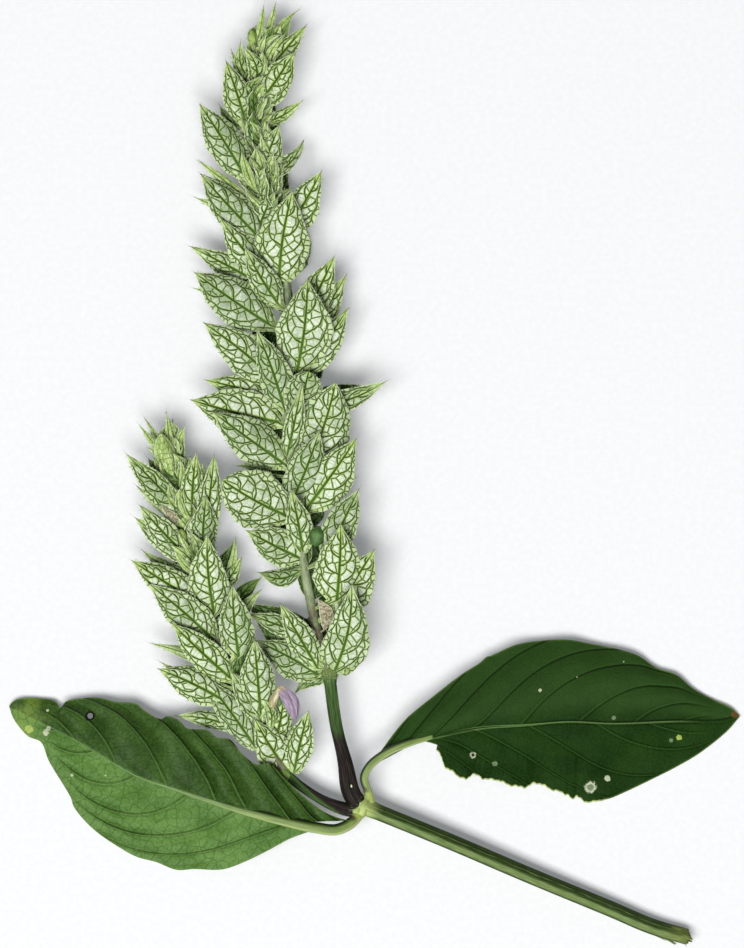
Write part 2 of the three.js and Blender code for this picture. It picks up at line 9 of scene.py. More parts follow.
import bpy
import numpy as np
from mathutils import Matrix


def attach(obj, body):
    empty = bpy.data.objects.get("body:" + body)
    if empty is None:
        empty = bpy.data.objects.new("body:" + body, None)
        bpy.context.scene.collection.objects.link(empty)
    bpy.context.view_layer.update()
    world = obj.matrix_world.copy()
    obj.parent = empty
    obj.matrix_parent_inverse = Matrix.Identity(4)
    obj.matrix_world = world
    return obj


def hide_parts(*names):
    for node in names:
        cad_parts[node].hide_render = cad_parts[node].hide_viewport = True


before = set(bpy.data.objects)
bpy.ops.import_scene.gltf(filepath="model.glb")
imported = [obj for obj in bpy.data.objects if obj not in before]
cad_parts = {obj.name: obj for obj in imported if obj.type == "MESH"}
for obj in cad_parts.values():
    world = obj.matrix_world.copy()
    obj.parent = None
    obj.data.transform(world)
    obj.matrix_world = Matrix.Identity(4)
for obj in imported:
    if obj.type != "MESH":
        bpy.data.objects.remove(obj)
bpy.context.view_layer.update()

# ---------------------------------------------------------------- driving dimensions, mm

MM = 0.001                      # metres in a millimetre
SQUARE = 0.2                    # one square of the drawing sheet that the plan lists count in
SHEET_ORIGIN = (375, 472)       # the square over the part's origin; squares count right and down

RACHIS_RADIUS = 0.95            # at a spike's foot
RACHIS_TIP_RADIUS = 0.5
BRACT_THICKNESS = 0.2
BRACT_LIFT = 0.46               # slope of a bract at its root, against its rachis
BRACT_EASE = 0.008              # how fast that slope eases, per mm
BRACT_KEEL = 0.2                # how far the margins fall behind the midrib, of the half width
BRACT_BULGE = 0.07              # how far each half bulges between midrib and margin
CLAW_BACK = 1.2                 # a bract's claw leaves the rachis this far behind its root
CLAW_HALF = 0.35
FIRST_CLAW = 0.6                # no claw sits lower on its rachis than this
CLAW_ROWS = (0, 1 / 3, 2 / 3)   # where a claw has points, of its length
CLAW_SHARE = 0.06               # what it adds to a bract's pattern, of the bract's length
BROAD_BRACT = 4.0               # bracts at least this wide get the fine grid
FINE_ROWS = 54                  # rows of points along such a bract
COARSE_ROWS = 24                # and along a narrow one
# Shares of a bract's half width at which a row has its points.
FINE_COLUMNS = [0, 0.05, 0.11, 0.2, 0.31, 0.43, 0.55, 0.67, 0.78, 0.87, 0.94, 1]
COARSE_COLUMNS = [0, 0.14, 0.32, 0.52, 0.72, 0.88, 1]
SLIMMEST = 0.02                 # a bract's half width is never less than this, of its widest
FULL_RELIEF = 6.0               # bracts less wide than this are flatter, in proportion
MARGIN_WAVES = ((15, 0.035), (37, 0.02))    # along a bract's margin: how fast, how deep
BRACT_BEAD = 1.5                # from one small bump of its margin to the next
BEAD_HEIGHT = 0.06
QUILT_HEIGHT = 0.2              # of the blade between two side veins
BRACT_RIB = (0.12, 0.3)         # its midrib: how high it stands, how far out it reaches
UNDER_LIFT = 1.0                # how steeply the bracts of the underside reach down
LOWEST = 0.16                   # a blade's middle is never lower than this
UNDER_LAYER = 0.06              # pressed bracts lie this far above one another, in turns of four
UNDER_TAPER = 0.45              # how much smaller the top bracts of the underside are
TOP_AROUND = 230                # a top's small bracts stand round so much of their rachis, in degrees
TOP_SHADED_EVERY = 5             # one of them in so many shows its inner side painted darker, as shade between the crowded bracts

STEM_HALF = 1.58                # half width of the internode, at the node
STEM_END_HALF = 1.6             # and at the cut
FRAYED_END = 0.1                # the last of the stem, where it is frayed
PEDUNCLE_HALF = 2.0             # the main spike's stalk, at the node
NODE_HALF = (2.7, 1.85)         # swollen node: half its length and half its width
NODE_TURN = 62                  # its length from +X, in degrees
NODE_SWELL = 0.2                # how much the stem widens where it enters it
PEDUNCLE_TOP_HALF = 1.35        # under the main spike
PEDUNCLE_FLARE = 0.6            # how much it widens again where the lowest bracts sit
PEDUNCLE_TAPER = 1.1            # and how much it narrows beneath them
SIDE_PEDUNCLE_HALF = 1.1
SIDE_PEDUNCLE_FLARE = 0.5       # how much it widens towards the node
ANGLE_POWER = 1.5               # 1 for a square stem on its edge, 2 for a round one
LENTICEL = (0.35, 0.22, 100)    # a pale dot: half its length, half its width, its turn in degrees
MIDRIB_HALF = 0.42              # of the midrib half way up the leaf
LEAF_THICKNESS = 0.3
LEAF_LOWEST = 0.02              # the blade's underside is never lower than this
LEAF_FOLD = 0.55                # where each half folds, from the midrib to the edge
FOLD_REACH = 0.2                # how far to each side of it the fold is rounded
LEAF_RIPPLE = (0.25, 47)        # of a leaf's edge: how high, how fast
PLEAT_POWER = 1.4               # 1 for a sharp crease at each side vein, 2 for a round one
PITCH_FADE = (1.2, 3.2)         # side veins closer than this fade out
EATEN_WAVES = ((83, 0, 0.35), (191, 1, 0.25))   # along an eaten edge: how fast, from where, how deep
PETIOLE_MARKS = 70.0            # how far the marks run along a petiole and its midrib
PETIOLE_RINGS = 160
JOINT_AT = 3.0                  # a petiole's brown joint, in those marks
JOINT_DIP = 0.08                # how much thinner the petiole is there
RIDGE_HEIGHT = 0.5              # the upper leaf's petiole stands this much above its midrib's line
RIDGE_DROP = 1.05               # and sinks by this much where it runs into the blade

VEIN_STEP = 0.22                # from one side vein to the next, of a bract's length
VEIN_SWEEP = 0.1                # how strongly the side veins sweep up along the margin
VEIN_LIMIT = 0.78               # they run into a marginal vein here, from the midrib to the margin
LARGE_CELL = 1.95               # cells of the net between the side veins
SMALL_CELL = 1.15               # and along the margin
SEED_STEP = 0.137               # a bract's seed is this times its number, without whole turns
SEED_SHIFTS = (37.1, 91.7, 7.3)     # how far its seed moves its pattern: right, along, and in veins
BRACTS_A_PIECE = 4
HAIR_RADIUS = 0.035
HAIR_SPACING = 0.55             # along a bract's margin
HAIR_LENGTHS = (0.35, 0.95)
TIP_HAIR = 1.3                  # the one on its tip
NODE_HAIRS = 420
NODE_HAIR_LEAN = (-1.2, 0.8, 0.6)   # towards the peduncle
COLLAR_HAIRS = 320              # under the main spike
COLLAR_REACH = 3.4              # they stand this near to the peduncle's top
COLLAR_LEAN = (0, 1.6, 0)

# ---------------------------------------------------------------- plan lists, in squares, heights in mm

# One row a bract, from a spike's foot to its top: root x, y, tip x, y, width, then how steeply it lifts
# towards +Z (1 is a bract's usual lift, 0 lies level) and its roll about its own midrib in degrees.
MAIN_RACHIS = [
    [329, 672, 7.0], [318, 635, 6.8], [303, 560, 6.3], [290, 465, 5.7], [286, 420, 5.5],
    [287, 285, 5.0], [268, 200, 4.7], [255, 120, 4.5], [258, 80, 4.5], [263, 42, 4.5],
]
SIDE_RACHIS = [
    [286, 774, 4.6], [262, 735, 4.8], [243, 700, 4.9], [225, 660, 4.9], [208, 610, 4.8],
    [195, 560, 4.6], [185, 510, 4.4], [175, 465, 4.3], [169, 440, 4.3],
]
MAIN_BRACTS = [
    [318, 674, 255, 640, 37, -0.15], [310, 635, 247, 613, 22, -0.3], [326, 678, 295, 693, 15, -0.45],
    [334, 673, 352, 583, 46, 1.3], [318, 668, 280, 602, 28, 0.9], [326, 628, 317, 598, 14, 0.9],
    [338, 612, 375, 549, 43, 0.7], [337, 600, 341, 523, 49, 1.1], [326, 560, 359, 489, 34, 0.8],
    [303, 569, 258, 572, 19, 0.2], [300, 558, 246, 530, 38, 0.6], [303, 552, 291, 488, 27, 1.2],
    [290, 517, 223, 480, 58, 0.9], [320, 500, 357, 477, 12, 0.2], [307, 508, 357, 438, 45, 0.9],
    [290, 505, 320, 430, 38, 1.2], [286, 465, 213, 412, 42, 0.9], [270, 475, 236, 466, 10, 0.1],
    [286, 460, 303, 381, 20, 1.0], [308, 465, 336, 383, 56, 0.8], [278, 422, 191, 400, 48, 0.7],
    [276, 400, 205, 380, 28, 0.5], [285, 410, 257, 330, 33, 1.1], [298, 420, 309, 372, 38, 1.0],
    [300, 405, 387, 381, 24, 0.4], [275, 380, 204, 323, 40, 0.7], [297, 372, 308, 280, 56, 1.2],
    [308, 372, 349, 308, 30, 0.6], [305, 345, 347, 274, 28, 0.3], [298, 325, 335, 256, 34, 0.7],
    [272, 326, 195, 273, 46, 0.8], [250, 305, 193, 288, 14, 0.1], [279, 305, 245, 248, 28, 1.0],
    [262, 285, 189, 246, 28, 0.4], [266, 275, 221, 219, 30, 0.8], [279, 280, 293, 192, 54, 1.1],
    [280, 240, 322, 171, 37, 0.8], [262, 240, 201, 175, 38, 0.9], [250, 215, 194, 197, 12, 0.1],
    [258, 232, 275, 192, 22, 1.0], [262, 212, 293, 188, 12, 0.6], [252, 208, 199, 173, 10, 0.6],
    [252, 203, 198, 161, 10, 0.8], [254, 188, 242, 152, 10, 1.2], [262, 192, 275, 150, 10, 0.9],
    [246, 178, 200, 105, 36, 0.9], [258, 178, 280, 125, 28, 0.9], [266, 178, 304, 140, 20, 0.6, -35],
    [247, 125, 226, 61, 30, 1.0], [262, 124, 303, 101, 14, 0.6], [256, 108, 295, 53, 32, 1.1],
    [258, 82, 307, 25, 24, 0.5], [252, 92, 231, 49, 10, 0.7], [253, 84, 241, 42, 16, 0.9],
    [256, 76, 248, 33, 11, 0.9], [255, 48, 264, 5, 7, 0.9], [262, 50, 276, 2, 8, 0.6],
    [264, 68, 287, 33, 8, 0.8], [266, 50, 299, 10, 9, 0.5],
    [308, 398, 372, 391, 21, 0.25], [318, 650, 246, 602, 42, -0.5],
    [262, 60, 291, 18, 14, 0.3], [246, 128, 219, 104, 12, 0.4], [254, 92, 244, 48, 19, 1.2],
]
SIDE_BRACTS = [
    [294, 773, 309, 710, 28, 0.7], [289, 773, 254, 717, 37, 0.5], [275, 742, 283, 704, 25, 0.3],
    [256, 748, 203, 675, 30, 0.3], [236, 728, 174, 716, 18, -0.2], [262, 722, 232, 672, 25, 0.8],
    [261, 714, 255, 638, 36, 1.3], [224, 700, 158, 668, 35, 0.7], [228, 688, 159, 660, 13, 0.4],
    [233, 680, 172, 622, 32, 1.0], [226, 672, 150, 643, 13, 0.4], [239, 656, 233, 584, 36, 1.3],
    [214, 640, 149, 583, 38, 0.9], [222, 596, 236, 536, 9, 0.5], [220, 592, 242, 557, 17, 0.7],
    [214, 612, 208, 534, 41, 1.3], [203, 605, 132, 560, 33, 0.9], [192, 575, 141, 549, 13, 0.5],
    [203, 552, 207, 495, 28, 1.3], [188, 562, 135, 517, 22, 0.6], [187, 556, 140, 505, 26, 0.9],
    [204, 545, 215, 454, 24, 1.0], [186, 522, 136, 485, 9, 0.5], [192, 522, 197, 452, 25, 0.9],
    [206, 520, 219, 490, 8, 0.6], [192, 510, 203, 462, 18, 0.7], [182, 512, 126, 453, 25, 0.9, 15],
    [180, 498, 150, 461, 18, 0.3], [184, 492, 190, 456, 15, 1.1, -25], [172, 480, 147, 447, 12, 0.5],
    [180, 480, 185, 425, 17, 0.6], [172, 470, 150, 432, 10, 0.5], [176, 468, 139, 424, 9, 0.8],
    [173, 466, 144, 417, 7, 0.5], [173, 478, 161, 434, 20, 1.3], [174, 466, 173, 418, 8, 0.5],
    [172, 468, 167, 412, 8, 0.8],
    [181, 496, 148, 458, 27, 0.5], [232, 612, 262, 577, 17, 0.2], [236, 628, 262, 589, 13, 0.6],
    [221, 578, 233, 542, 20, 0.2], [236, 676, 253, 640, 17, 0.7], [196, 500, 190, 462, 16, 0.5],
    [271, 728, 263, 698, 14, 1.0], [184, 522, 161, 504, 9, 1.1],
]

# Bracts that are bent, blunt or folded in a way of their own: by number, the side spike's from 100 on.
# An inside above 0 shows a bract's inner face in a darker green, which is painted shade; below 0 the
# bract is wilted. 59, 60 and 137 to 142 are such dark inner faces, put where the bracts lie in shade.
OWN_FORMS = {
    12: dict(point=0.8, heel=0.95, left_curl=0.25),
    19: dict(point=1.0),
    23: dict(point=0.55, heel=0.7, right_curl=0.4, left_curl=0.3),
    24: dict(bow=-0.32, left_curl=0.9, right_curl=0.2, keel=0.05, dip=0.12),
    47: dict(bow=-0.35, left_curl=0.7, right_curl=0.7, dip=-0.3),
    2: dict(inside=0.6),
    3: dict(heel=0.7, bow=-0.12),
    5: dict(inside=-1.0, right_curl=0.5),
    9: dict(inside=0.35),
    59: dict(inside=1.0, left_curl=0.5, point=0.8),
    60: dict(inside=1.0, dip=-0.1),
    61: dict(inside=0.8),
    62: dict(inside=0.5),
    101: dict(point=1.4),
    102: dict(point=0.6, heel=0.6),
    126: dict(left_curl=-0.1, right_curl=0.75, keel=0.1, lopsided=0.2),
    134: dict(green=1.4, point=0.7, keel=0.6),
    137: dict(inside=1.0),
    138: dict(inside=1.0),
    139: dict(bow=0.3),
    140: dict(inside=1.0),
    141: dict(inside=1.0),
    142: dict(inside=1.0),
    144: dict(inside=-1.0, bow=0.3, left_curl=0.5),
}

# Bracts of the underside: how many, their usual size, how far they turn from the rachis, in degrees.
MAIN_UNDER = dict(count=18, first=3, step=6.4, length=16.5, width=8.6, turn=24, seed=11, missing=[1])
SIDE_UNDER = dict(count=12, first=3, step=5.5, length=13.5, width=6.6, turn=24, seed=29, missing=[])

# Small crowded bracts of a spike's top: how many, where the first is seated, the length of the lowest and
# of the highest, how far they turn from the rachis and how far the highest lean to the right, in degrees.
MAIN_TOP = dict(count=84, first=90.0, longest=8.5, shortest=4.6, width=2.3, turn=34, lean=20, seed=5)
SIDE_TOP = dict(count=52, first=42.0, longest=7.8, shortest=4.4, width=2.1, turn=38, lean=-4, seed=17)

# Swollen green bodies among the bracts: x, y, height above the rachis, half length, half width, turn, and
# how dark they are.
MAIN_BUDS = [
    [317, 536, 2.4, 2.1, 1.5, 80, 1], [252, 37, 1.9, 1.5, 0.9, 100, 0.1], [273, 178, 1.3, 1.6, 0.8, 80, 0],
]
SIDE_BUDS = [
    [182, 536, 1.6, 1.5, 1.0, 100, 0], [285, 774, 0.1, 1.7, 1.2, 130, 0.6], [280, 699, 2.3, 1.5, 0.6, 80, 1],
]

# [x, y, height of the middle]
STEM_ROUTE = [
    [363, 806, 5.0], [446, 840, 4.3], [530, 876, 3.4], [612, 910, 2.6], [652, 927, 2.3], [689, 938, 2.0],
]
PEDUNCLE_ROUTE = [[361, 808, 5.0], [351, 792, 5.6], [345, 762, 6.2], [336, 724, 6.7], [328, 664, 6.7]]
SIDE_PEDUNCLE_ROUTE = [[360, 811, 4.9], [345, 809, 4.8], [326, 802, 4.7], [303, 788, 4.6], [286, 774, 4.6]]
NODE_AT = [361, 807, 5.2]
LENTICEL_AT = [351.5, 785.5, 7.3]        # on the peduncle

# Fibres at the cut end: half width in mm, then [x, y, height] along each.
SPLINTERS = [
    [0.4, [650, 931, 2.0], [664, 938, 1.9], [677, 945, 1.6]],
    [0.35, [658, 934, 1.4], [668, 940, 1.1], [676, 946, 0.8]],
    [0.7, [672, 931, 2.5], [684, 936, 2.3], [693, 941, 2.0]],
    [0.5, [676, 935, 1.6], [686, 940, 1.5], [693, 943, 1.3]],
    [0.35, [672, 929, 2.8], [682, 931, 2.7], [691, 936, 2.3]],
    [0.3, [636, 926, 1.6], [652, 934, 1.4], [667, 942, 1.0]],
    [0.12, [680, 940, 1.5], [686, 944, 1.5], [687, 948, 1.4]],
    [0.4, [668, 935, 2.2], [679, 940, 2.0], [688, 944, 1.7]],
]

# Leaves: [x, y, height] along the petiole and the midrib; [x, y] along each edge from the leaf's foot to
# its tip; and, as [share of the length, height], how each half folds half way out and droops at its edge.
# Veins are shares of the length at which side veins leave the midrib, for each half; sweep is how far
# forward they run, near the midrib and near the edge; pleat is how high the blade stands between them.
LEFT_LEAF = dict(
    petiole=[[361, 809, 5.0], [353, 821, 6.2], [337, 829, 6.9], [315, 827, 7.2]], petiole_radius=1.15,
    midrib=[[290, 822, 7.3], [242, 810, 7.3], [206, 799, 7.0], [170, 787, 6.3], [138, 776, 5.5],
            [97, 753, 3.8], [73, 739, 2.8], [51, 728, 1.8], [8, 707, 0.6]],
    edge_a=[[350, 820], [338, 817], [324, 811], [305, 797], [286, 779], [269, 763], [257, 764], [242, 753],
            [230, 739], [217, 737], [208, 730], [187, 728], [179, 720], [167, 716], [161, 719], [145, 711],
            [136, 704], [116, 702], [97, 698], [79, 699], [65, 702], [60, 708], [55, 702], [41, 699],
            [19, 699], [12, 702]],
    edge_b=[[310, 831], [291, 838], [269, 850], [247, 861], [223, 870], [194, 870], [176, 871], [155, 863],
            [136, 858], [116, 847], [90, 828], [73, 808], [70, 799], [48, 762], [40, 743], [27, 737],
            [13, 720]],
    fold_a=[[0, 7.3], [0.15, 7.9], [0.5, 7.6], [0.62, 6.3], [0.8, 3.4], [0.93, 1.5], [1, 0.6]],
    droop_a=[[0, 7.2], [0.15, 7.5], [0.35, 7.2], [0.5, 5.8], [0.62, 3.8], [0.8, 1.8], [0.93, 0.9], [1, 0.6]],
    fold_b=[[0, 7.2], [0.15, 6.0], [0.3, 4.2], [0.42, 2.2], [0.52, 0.35], [0.84, 0.35], [0.94, 0.7],
            [1, 0.6]],
    droop_b=[[0, 7.0], [0.15, 3.8], [0.28, 1.4], [0.36, 0.2], [0.9, 0.2], [1, 0.5]],
    veins_a=[-0.14, -0.015, 0.14, 0.245, 0.416, 0.6, 0.76, 0.88], sweep_a=(0.28, 0.1),
    veins_b=[-0.24, -0.055, 0.17, 0.34, 0.52, 0.68, 0.82], sweep_b=(0.21, 0.36),
    pleat_a=1.2, pleat_b=0.9, eaten_a=0, eaten_b=0, hole=[90, 716, 0.6], underside=True,
)
RIGHT_LEAF = dict(
    petiole=[[371, 804, 4.9], [369, 795, 5.7], [366, 786, 6.1], [364, 777, 6.3], [370, 765, 6.3],
             [387, 752, 6.2], [405, 744, 6.0]], petiole_radius=0.84,
    midrib=[[422, 739, 5.8], [476, 728, 5.5], [526, 725, 5.1], [569, 722, 4.5], [614, 724, 3.7],
            [677, 722, 2.2], [722, 722, 1.0], [741, 717, 0.5]],
    edge_a=[[368, 768], [380, 752], [405, 720], [435, 695], [461, 675], [480, 663], [487, 657], [491, 656],
            [516, 645], [541, 641], [569, 640], [591, 644], [621, 650], [639, 656], [657, 668], [677, 675],
            [694, 689], [714, 700], [733, 709]],
    edge_b=[[424, 741], [434, 744], [439, 748], [436, 752], [440, 756], [444, 768], [452, 774], [466, 782],
            [472, 777], [486, 782], [498, 783], [507, 787], [526, 790], [536, 786], [553, 793], [568, 798],
            [573, 803], [576, 799], [586, 805], [609, 800], [626, 793], [651, 781], [677, 768], [702, 753],
            [727, 733]],
    fold_a=[[0, 6.2], [0.2, 6.2], [0.5, 5.6], [0.75, 3.6], [0.9, 1.6], [1, 0.5]],
    droop_a=[[0, 5.6], [0.2, 4.4], [0.4, 2.6], [0.75, 1.5], [0.9, 0.9], [1, 0.5]],
    fold_b=[[0, 5.9], [0.15, 5.4], [0.35, 4.0], [0.5, 2.4], [0.62, 0.9], [0.7, 0.35], [0.88, 0.35], [1, 0.5]],
    droop_b=[[0, 5.8], [0.15, 4.0], [0.35, 1.6], [0.5, 0.5], [0.6, 0.2], [0.9, 0.2], [1, 0.5]],
    veins_a=[-0.2, -0.02, 0.155, 0.305, 0.49, 0.66, 0.81, 0.93], sweep_a=(0.36, 0.13),
    veins_b=[-0.15, -0.01, 0.155, 0.33, 0.545, 0.71, 0.86], sweep_b=(0.34, 0.03),
    pleat_a=0.45, pleat_b=0.3, eaten_a=0, eaten_b=1, hole=None, underside=False,
)

# The wilted flower: [x, y, height] along its tube and down its lip.
COROLLA_TUBE = [[272, 706, 7.2], [275, 697, 7.9], [280, 688, 8.5]]
COROLLA_LIP = dict(root=[279, 686, 8.8], tip=[296, 719, 8.4], width=3.1, bow=0.75)

# ---------------------------------------------------------------- small tools


def on_sheet(points):
    """Squares of the drawing sheet, with heights if there are any, to millimetres from the origin."""
    points = np.array(points, float)
    points[..., 0] = (points[..., 0] - SHEET_ORIGIN[0]) * SQUARE
    points[..., 1] = (SHEET_ORIGIN[1] - points[..., 1]) * SQUARE
    return points


def seeded(seed):
    """A repeatable stream of numbers between 0 and 1: the generator known as mulberry32."""
    state = seed
    word = 0xFFFFFFFF

    def draw():
        nonlocal state
        state = (state + 0x6D2B79F5) & word
        mixed = (state ^ (state >> 15)) * (1 | state) & word
        mixed = (mixed + ((mixed ^ (mixed >> 7)) * (61 | mixed) & word) & word) ^ mixed
        return (mixed ^ (mixed >> 14)) / (word + 1)

    return draw


def unit(way):
    return way / np.linalg.norm(way)


def smooth(value, low, high):
    """0 below low, 1 above high, and a smooth step between them."""
    share = np.clip((value - low) / (high - low), 0, 1)
    return share * share * (3 - 2 * share)


def along(route, shares):
    """Points at the given shares of a route's length."""
    steps = np.linalg.norm(np.diff(route, axis=0), axis=1)
    distance = np.concatenate([[0], np.cumsum(steps)])
    wanted = np.asarray(shares) * distance[-1]
    return np.stack([np.interp(wanted, distance, column) for column in route.T], axis=-1)


def length_of(route):
    return np.linalg.norm(np.diff(route, axis=0), axis=1).sum()


def curve_through(points, steps=24):
    """A smooth curve through points, as a fine route."""
    points = np.asarray(points, float)
    ends = np.vstack([2 * points[0] - points[1], points, 2 * points[-1] - points[-2]])
    share = np.linspace(0, 1, steps, endpoint=False)[:, None]
    stretches = []
    for p0, p1, p2, p3 in zip(ends, ends[1:], ends[2:], ends[3:]):
        d0, d1, d2 = (math.sqrt(np.linalg.norm(b - a)) for a, b in ((p0, p1), (p1, p2), (p2, p3)))
        m1 = ((p1 - p0) / d0 - (p2 - p0) / (d0 + d1) + (p2 - p1) / d1) * d1
        m2 = ((p2 - p1) / d1 - (p3 - p1) / (d1 + d2) + (p3 - p2) / d2) * d1
        stretches.append(p1 + m1 * share + (3 * (p2 - p1) - 2 * m1 - m2) * share ** 2
                         + (2 * (p1 - p2) + m1 + m2) * share ** 3)
    return np.vstack([*stretches, points[-1:]])


# ---------------------------------------------------------------- meshes


@dataclass
class Shell:
    """A closed skin: its points, its four-sided faces, and named vectors kept at each point."""

    points: np.ndarray
    quads: np.ndarray
    marks: dict


def grid_quads(index):
    """The faces between the rows and columns of a grid of point numbers."""
    return np.stack([index[:-1, :-1], index[:-1, 1:], index[1:, 1:], index[1:, :-1]], axis=-1).reshape(-1, 4)


def blade_shell(front, back, marks, back_marks=None, gone=None):
    """A blade whose two faces are grids of points, closed round its rim and round what is gone from it."""
    rows, columns = front.shape[:2]
    shift = rows * columns
    face = grid_quads(np.arange(shift).reshape(rows, columns))
    if gone is not None:
        face = face[~gone.ravel()[face].all(axis=1)]
    starts, ends = face.ravel(), np.roll(face, -1, axis=1).ravel()
    open_edge = ~np.isin(starts * shift + ends, ends * shift + starts)
    starts, ends = starts[open_edge], ends[open_edge]
    rim = np.stack([ends, starts, starts + shift, ends + shift], axis=-1)
    both = {name: np.vstack([values.reshape(-1, 3), (back_marks or marks)[name].reshape(-1, 3)])
            for name, values in marks.items()}
    points = np.vstack([front.reshape(-1, 3), back.reshape(-1, 3)])
    return Shell(points, np.vstack([face, face[:, ::-1] + shift, rim]), both)


def turns(sides):
    """Angles round a section, in radians."""
    return np.arange(sides) / sides * 2 * math.pi


def section(radius, sides=16):
    """A section's points, across and above. Its radius is one number, or one for each point."""
    angles = turns(sides)
    return np.column_stack([np.cos(angles), np.sin(angles)]) * np.reshape(radius, (-1, 1))


def tube_shell(route, section_at, marks_at):
    """A solid stalk along a route. section_at(share) gives its section's points.

    marks_at(share, around) gives three numbers for each mark; around is each point's share of a turn.
    """
    shares = np.linspace(0, 1, len(route))
    tangent = np.gradient(route, axis=0)
    tangent /= np.linalg.norm(tangent, axis=1)[:, None]
    across = np.cross([0, 0, 1], tangent)
    across /= np.linalg.norm(across, axis=1)[:, None]
    above = np.cross(tangent, across)
    rings = []
    for share, middle, side, up in zip(shares, route, across, above):
        corners = section_at(share)
        rings.append(middle + corners[:, :1] * side + corners[:, 1:] * up)
    rings = np.array(rings)
    # Each end closes over a ring of half the size on its middle point.
    first, last = rings[0].mean(axis=0), rings[-1].mean(axis=0)
    rings = np.concatenate([[first * 0.5 + rings[0] * 0.5], rings, [last * 0.5 + rings[-1] * 0.5]])
    count, sides = rings.shape[:2]
    index = np.arange(count * sides).reshape(count, sides)
    quads = grid_quads(np.hstack([index, index[:, :1]]))
    caps = []
    for k in range(0, sides, 2):
        a, b, c = k, (k + 1) % sides, (k + 2) % sides
        caps.append([count * sides, c, b, a])
        end = (count - 1) * sides
        caps.append([count * sides + 1, end + a, end + b, end + c])
    around = np.arange(sides) / sides
    marks = {}
    for share in (0, *shares, 1):
        for name, values in marks_at(share, around).items():
            row = np.column_stack(np.broadcast_arrays(*values, around)[:3])
            marks.setdefault(name, []).append(row)
    marks = {name: np.vstack([*rows, rows[0][:1], rows[-1][:1]]) for name, rows in marks.items()}
    return Shell(np.vstack([rings.reshape(-1, 3), first, last]), np.vstack([quads, caps]), marks)


def hair_shell(feet, ways, lengths, seed):
    """Fine hairs: three-sided spikes, each closed at its foot."""
    ways = ways / np.linalg.norm(ways, axis=1)[:, None]
    across = np.cross(ways, [0.31, 0.52, 0.79])
    across /= np.linalg.norm(across, axis=1)[:, None]
    above = np.cross(ways, across)
    ring = [feet + HAIR_RADIUS * (math.cos(turn) * across + math.sin(turn) * above) for turn in turns(3)]
    points = np.stack([*ring, feet + ways * np.asarray(lengths)[:, None]], axis=1)
    corners = np.array([[0, 1, 3, 3], [1, 2, 3, 3], [2, 0, 3, 3], [2, 1, 0, 0]])
    faces = (np.arange(len(feet))[:, None, None] * 4 + corners).reshape(-1, 4)
    places = points.reshape(-1, 3).copy()
    places[:, 2] = seed
    return Shell(points.reshape(-1, 3), faces, dict(place=places))


def piece(name, shells, material, slot, node):
    """One object made of closed skins, which stands for a CAD node, alone or with others."""
    offsets = np.cumsum([0] + [len(shell.points) for shell in shells[:-1]])
    points = np.vstack([shell.points for shell in shells]) * MM
    quads = np.vstack([shell.quads + offset for shell, offset in zip(shells, offsets)])
    # A face whose last two corners are one point is a triangle.
    faces = [face[:3] if face[2] == face[3] else face for face in quads.tolist()]
    mesh = bpy.data.meshes.new(name)
    mesh.from_pydata(points.tolist(), [], faces)
    for kept in shells[0].marks:
        values = np.vstack([shell.marks[kept] for shell in shells]).astype(np.float32)
        mesh.attributes.new(kept, "FLOAT_VECTOR", "POINT").data.foreach_set("vector", values.ravel())
    mesh.polygons.foreach_set("use_smooth", [True] * len(mesh.polygons))
    mesh.materials.append(material)
    made = bpy.data.objects.new(name, mesh)
    bpy.context.scene.collection.objects.link(made)
    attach(made, "root")
    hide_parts(node)


# ---------------------------------------------------------------- shader numbers


def maths(operation, flipped=False):
    """A method of Field that adds one Math node. Flipped, the field is its second number."""
    def method(self, *others):
        values = (self, *others)
        return add_node("Math", zip(range(2), reversed(values) if flipped else values), operation=operation)
    return method


class Field:
    """A number, a vector or a colour that shader nodes work out. Arithmetic on it adds Math nodes."""

    def __init__(self, tree, socket):
        self.tree = tree
        self.socket = socket

    __add__ = __radd__ = maths("ADD")
    __mul__ = __rmul__ = maths("MULTIPLY")
    __sub__ = maths("SUBTRACT")
    __rsub__ = maths("SUBTRACT", flipped=True)
    __truediv__ = maths("DIVIDE")
    __rtruediv__ = maths("DIVIDE", flipped=True)
    least = maths("MINIMUM")
    most = maths("MAXIMUM")
    power = maths("POWER")
    logarithm = maths("LOGARITHM")
    zigzag = maths("PINGPONG")
    size = maths("ABSOLUTE")
    rounded = maths("ROUND")

    def step(self, low, high):
        """0 below low, 1 above high, smooth between; the other way round if low is above high."""
        falls = not isinstance(low, Field) and not isinstance(high, Field) and low > high
        ends = (high, low, 1.0, 0.0) if falls else (low, high, 0.0, 1.0)
        return add_node("MapRange", enumerate((self, *ends)), interpolation_type="SMOOTHSTEP")

    def line(self, half):
        """1 on a line that this number is the distance from, 0 away from it."""
        return 1 - self.step(half * 0.55, half * 1.35)


def join(value, socket):
    """Puts a field, a number, or a colour as it looks on a screen, 0 to 255, into a socket."""
    if isinstance(value, Field):
        value.tree.links.new(value.socket, socket)
    elif isinstance(value, tuple) and len(value) == 3:
        socket.default_value = linear(*value)
    else:
        socket.default_value = value


def add_node(kind, inputs, output=0, **settings):
    """One output of a new shader node, in the tree of the first field among its inputs."""
    inputs = list(inputs)
    tree = next(value.tree for _, value in inputs if isinstance(value, Field))
    made = tree.nodes.new(f"ShaderNode{kind}")
    for setting, value in settings.items():
        setattr(made, setting, value)
    for slot, value in inputs:
        join(value, made.inputs[slot])
    return Field(tree, made.outputs[output])


def mark(tree, name):
    """The three numbers of a vector kept at a mesh's points."""
    kept = tree.nodes.new("ShaderNodeAttribute")
    kept.attribute_name = name
    parts = tree.nodes.new("ShaderNodeSeparateXYZ")
    tree.links.new(kept.outputs["Vector"], parts.inputs[0])
    return [Field(tree, output) for output in parts.outputs]


def vector(*values):
    return add_node("CombineXYZ", enumerate(values))


def noise(place, scale, detail=2.0):
    return add_node("TexNoise", dict(Vector=place, Scale=scale, Detail=detail).items(), "Fac")


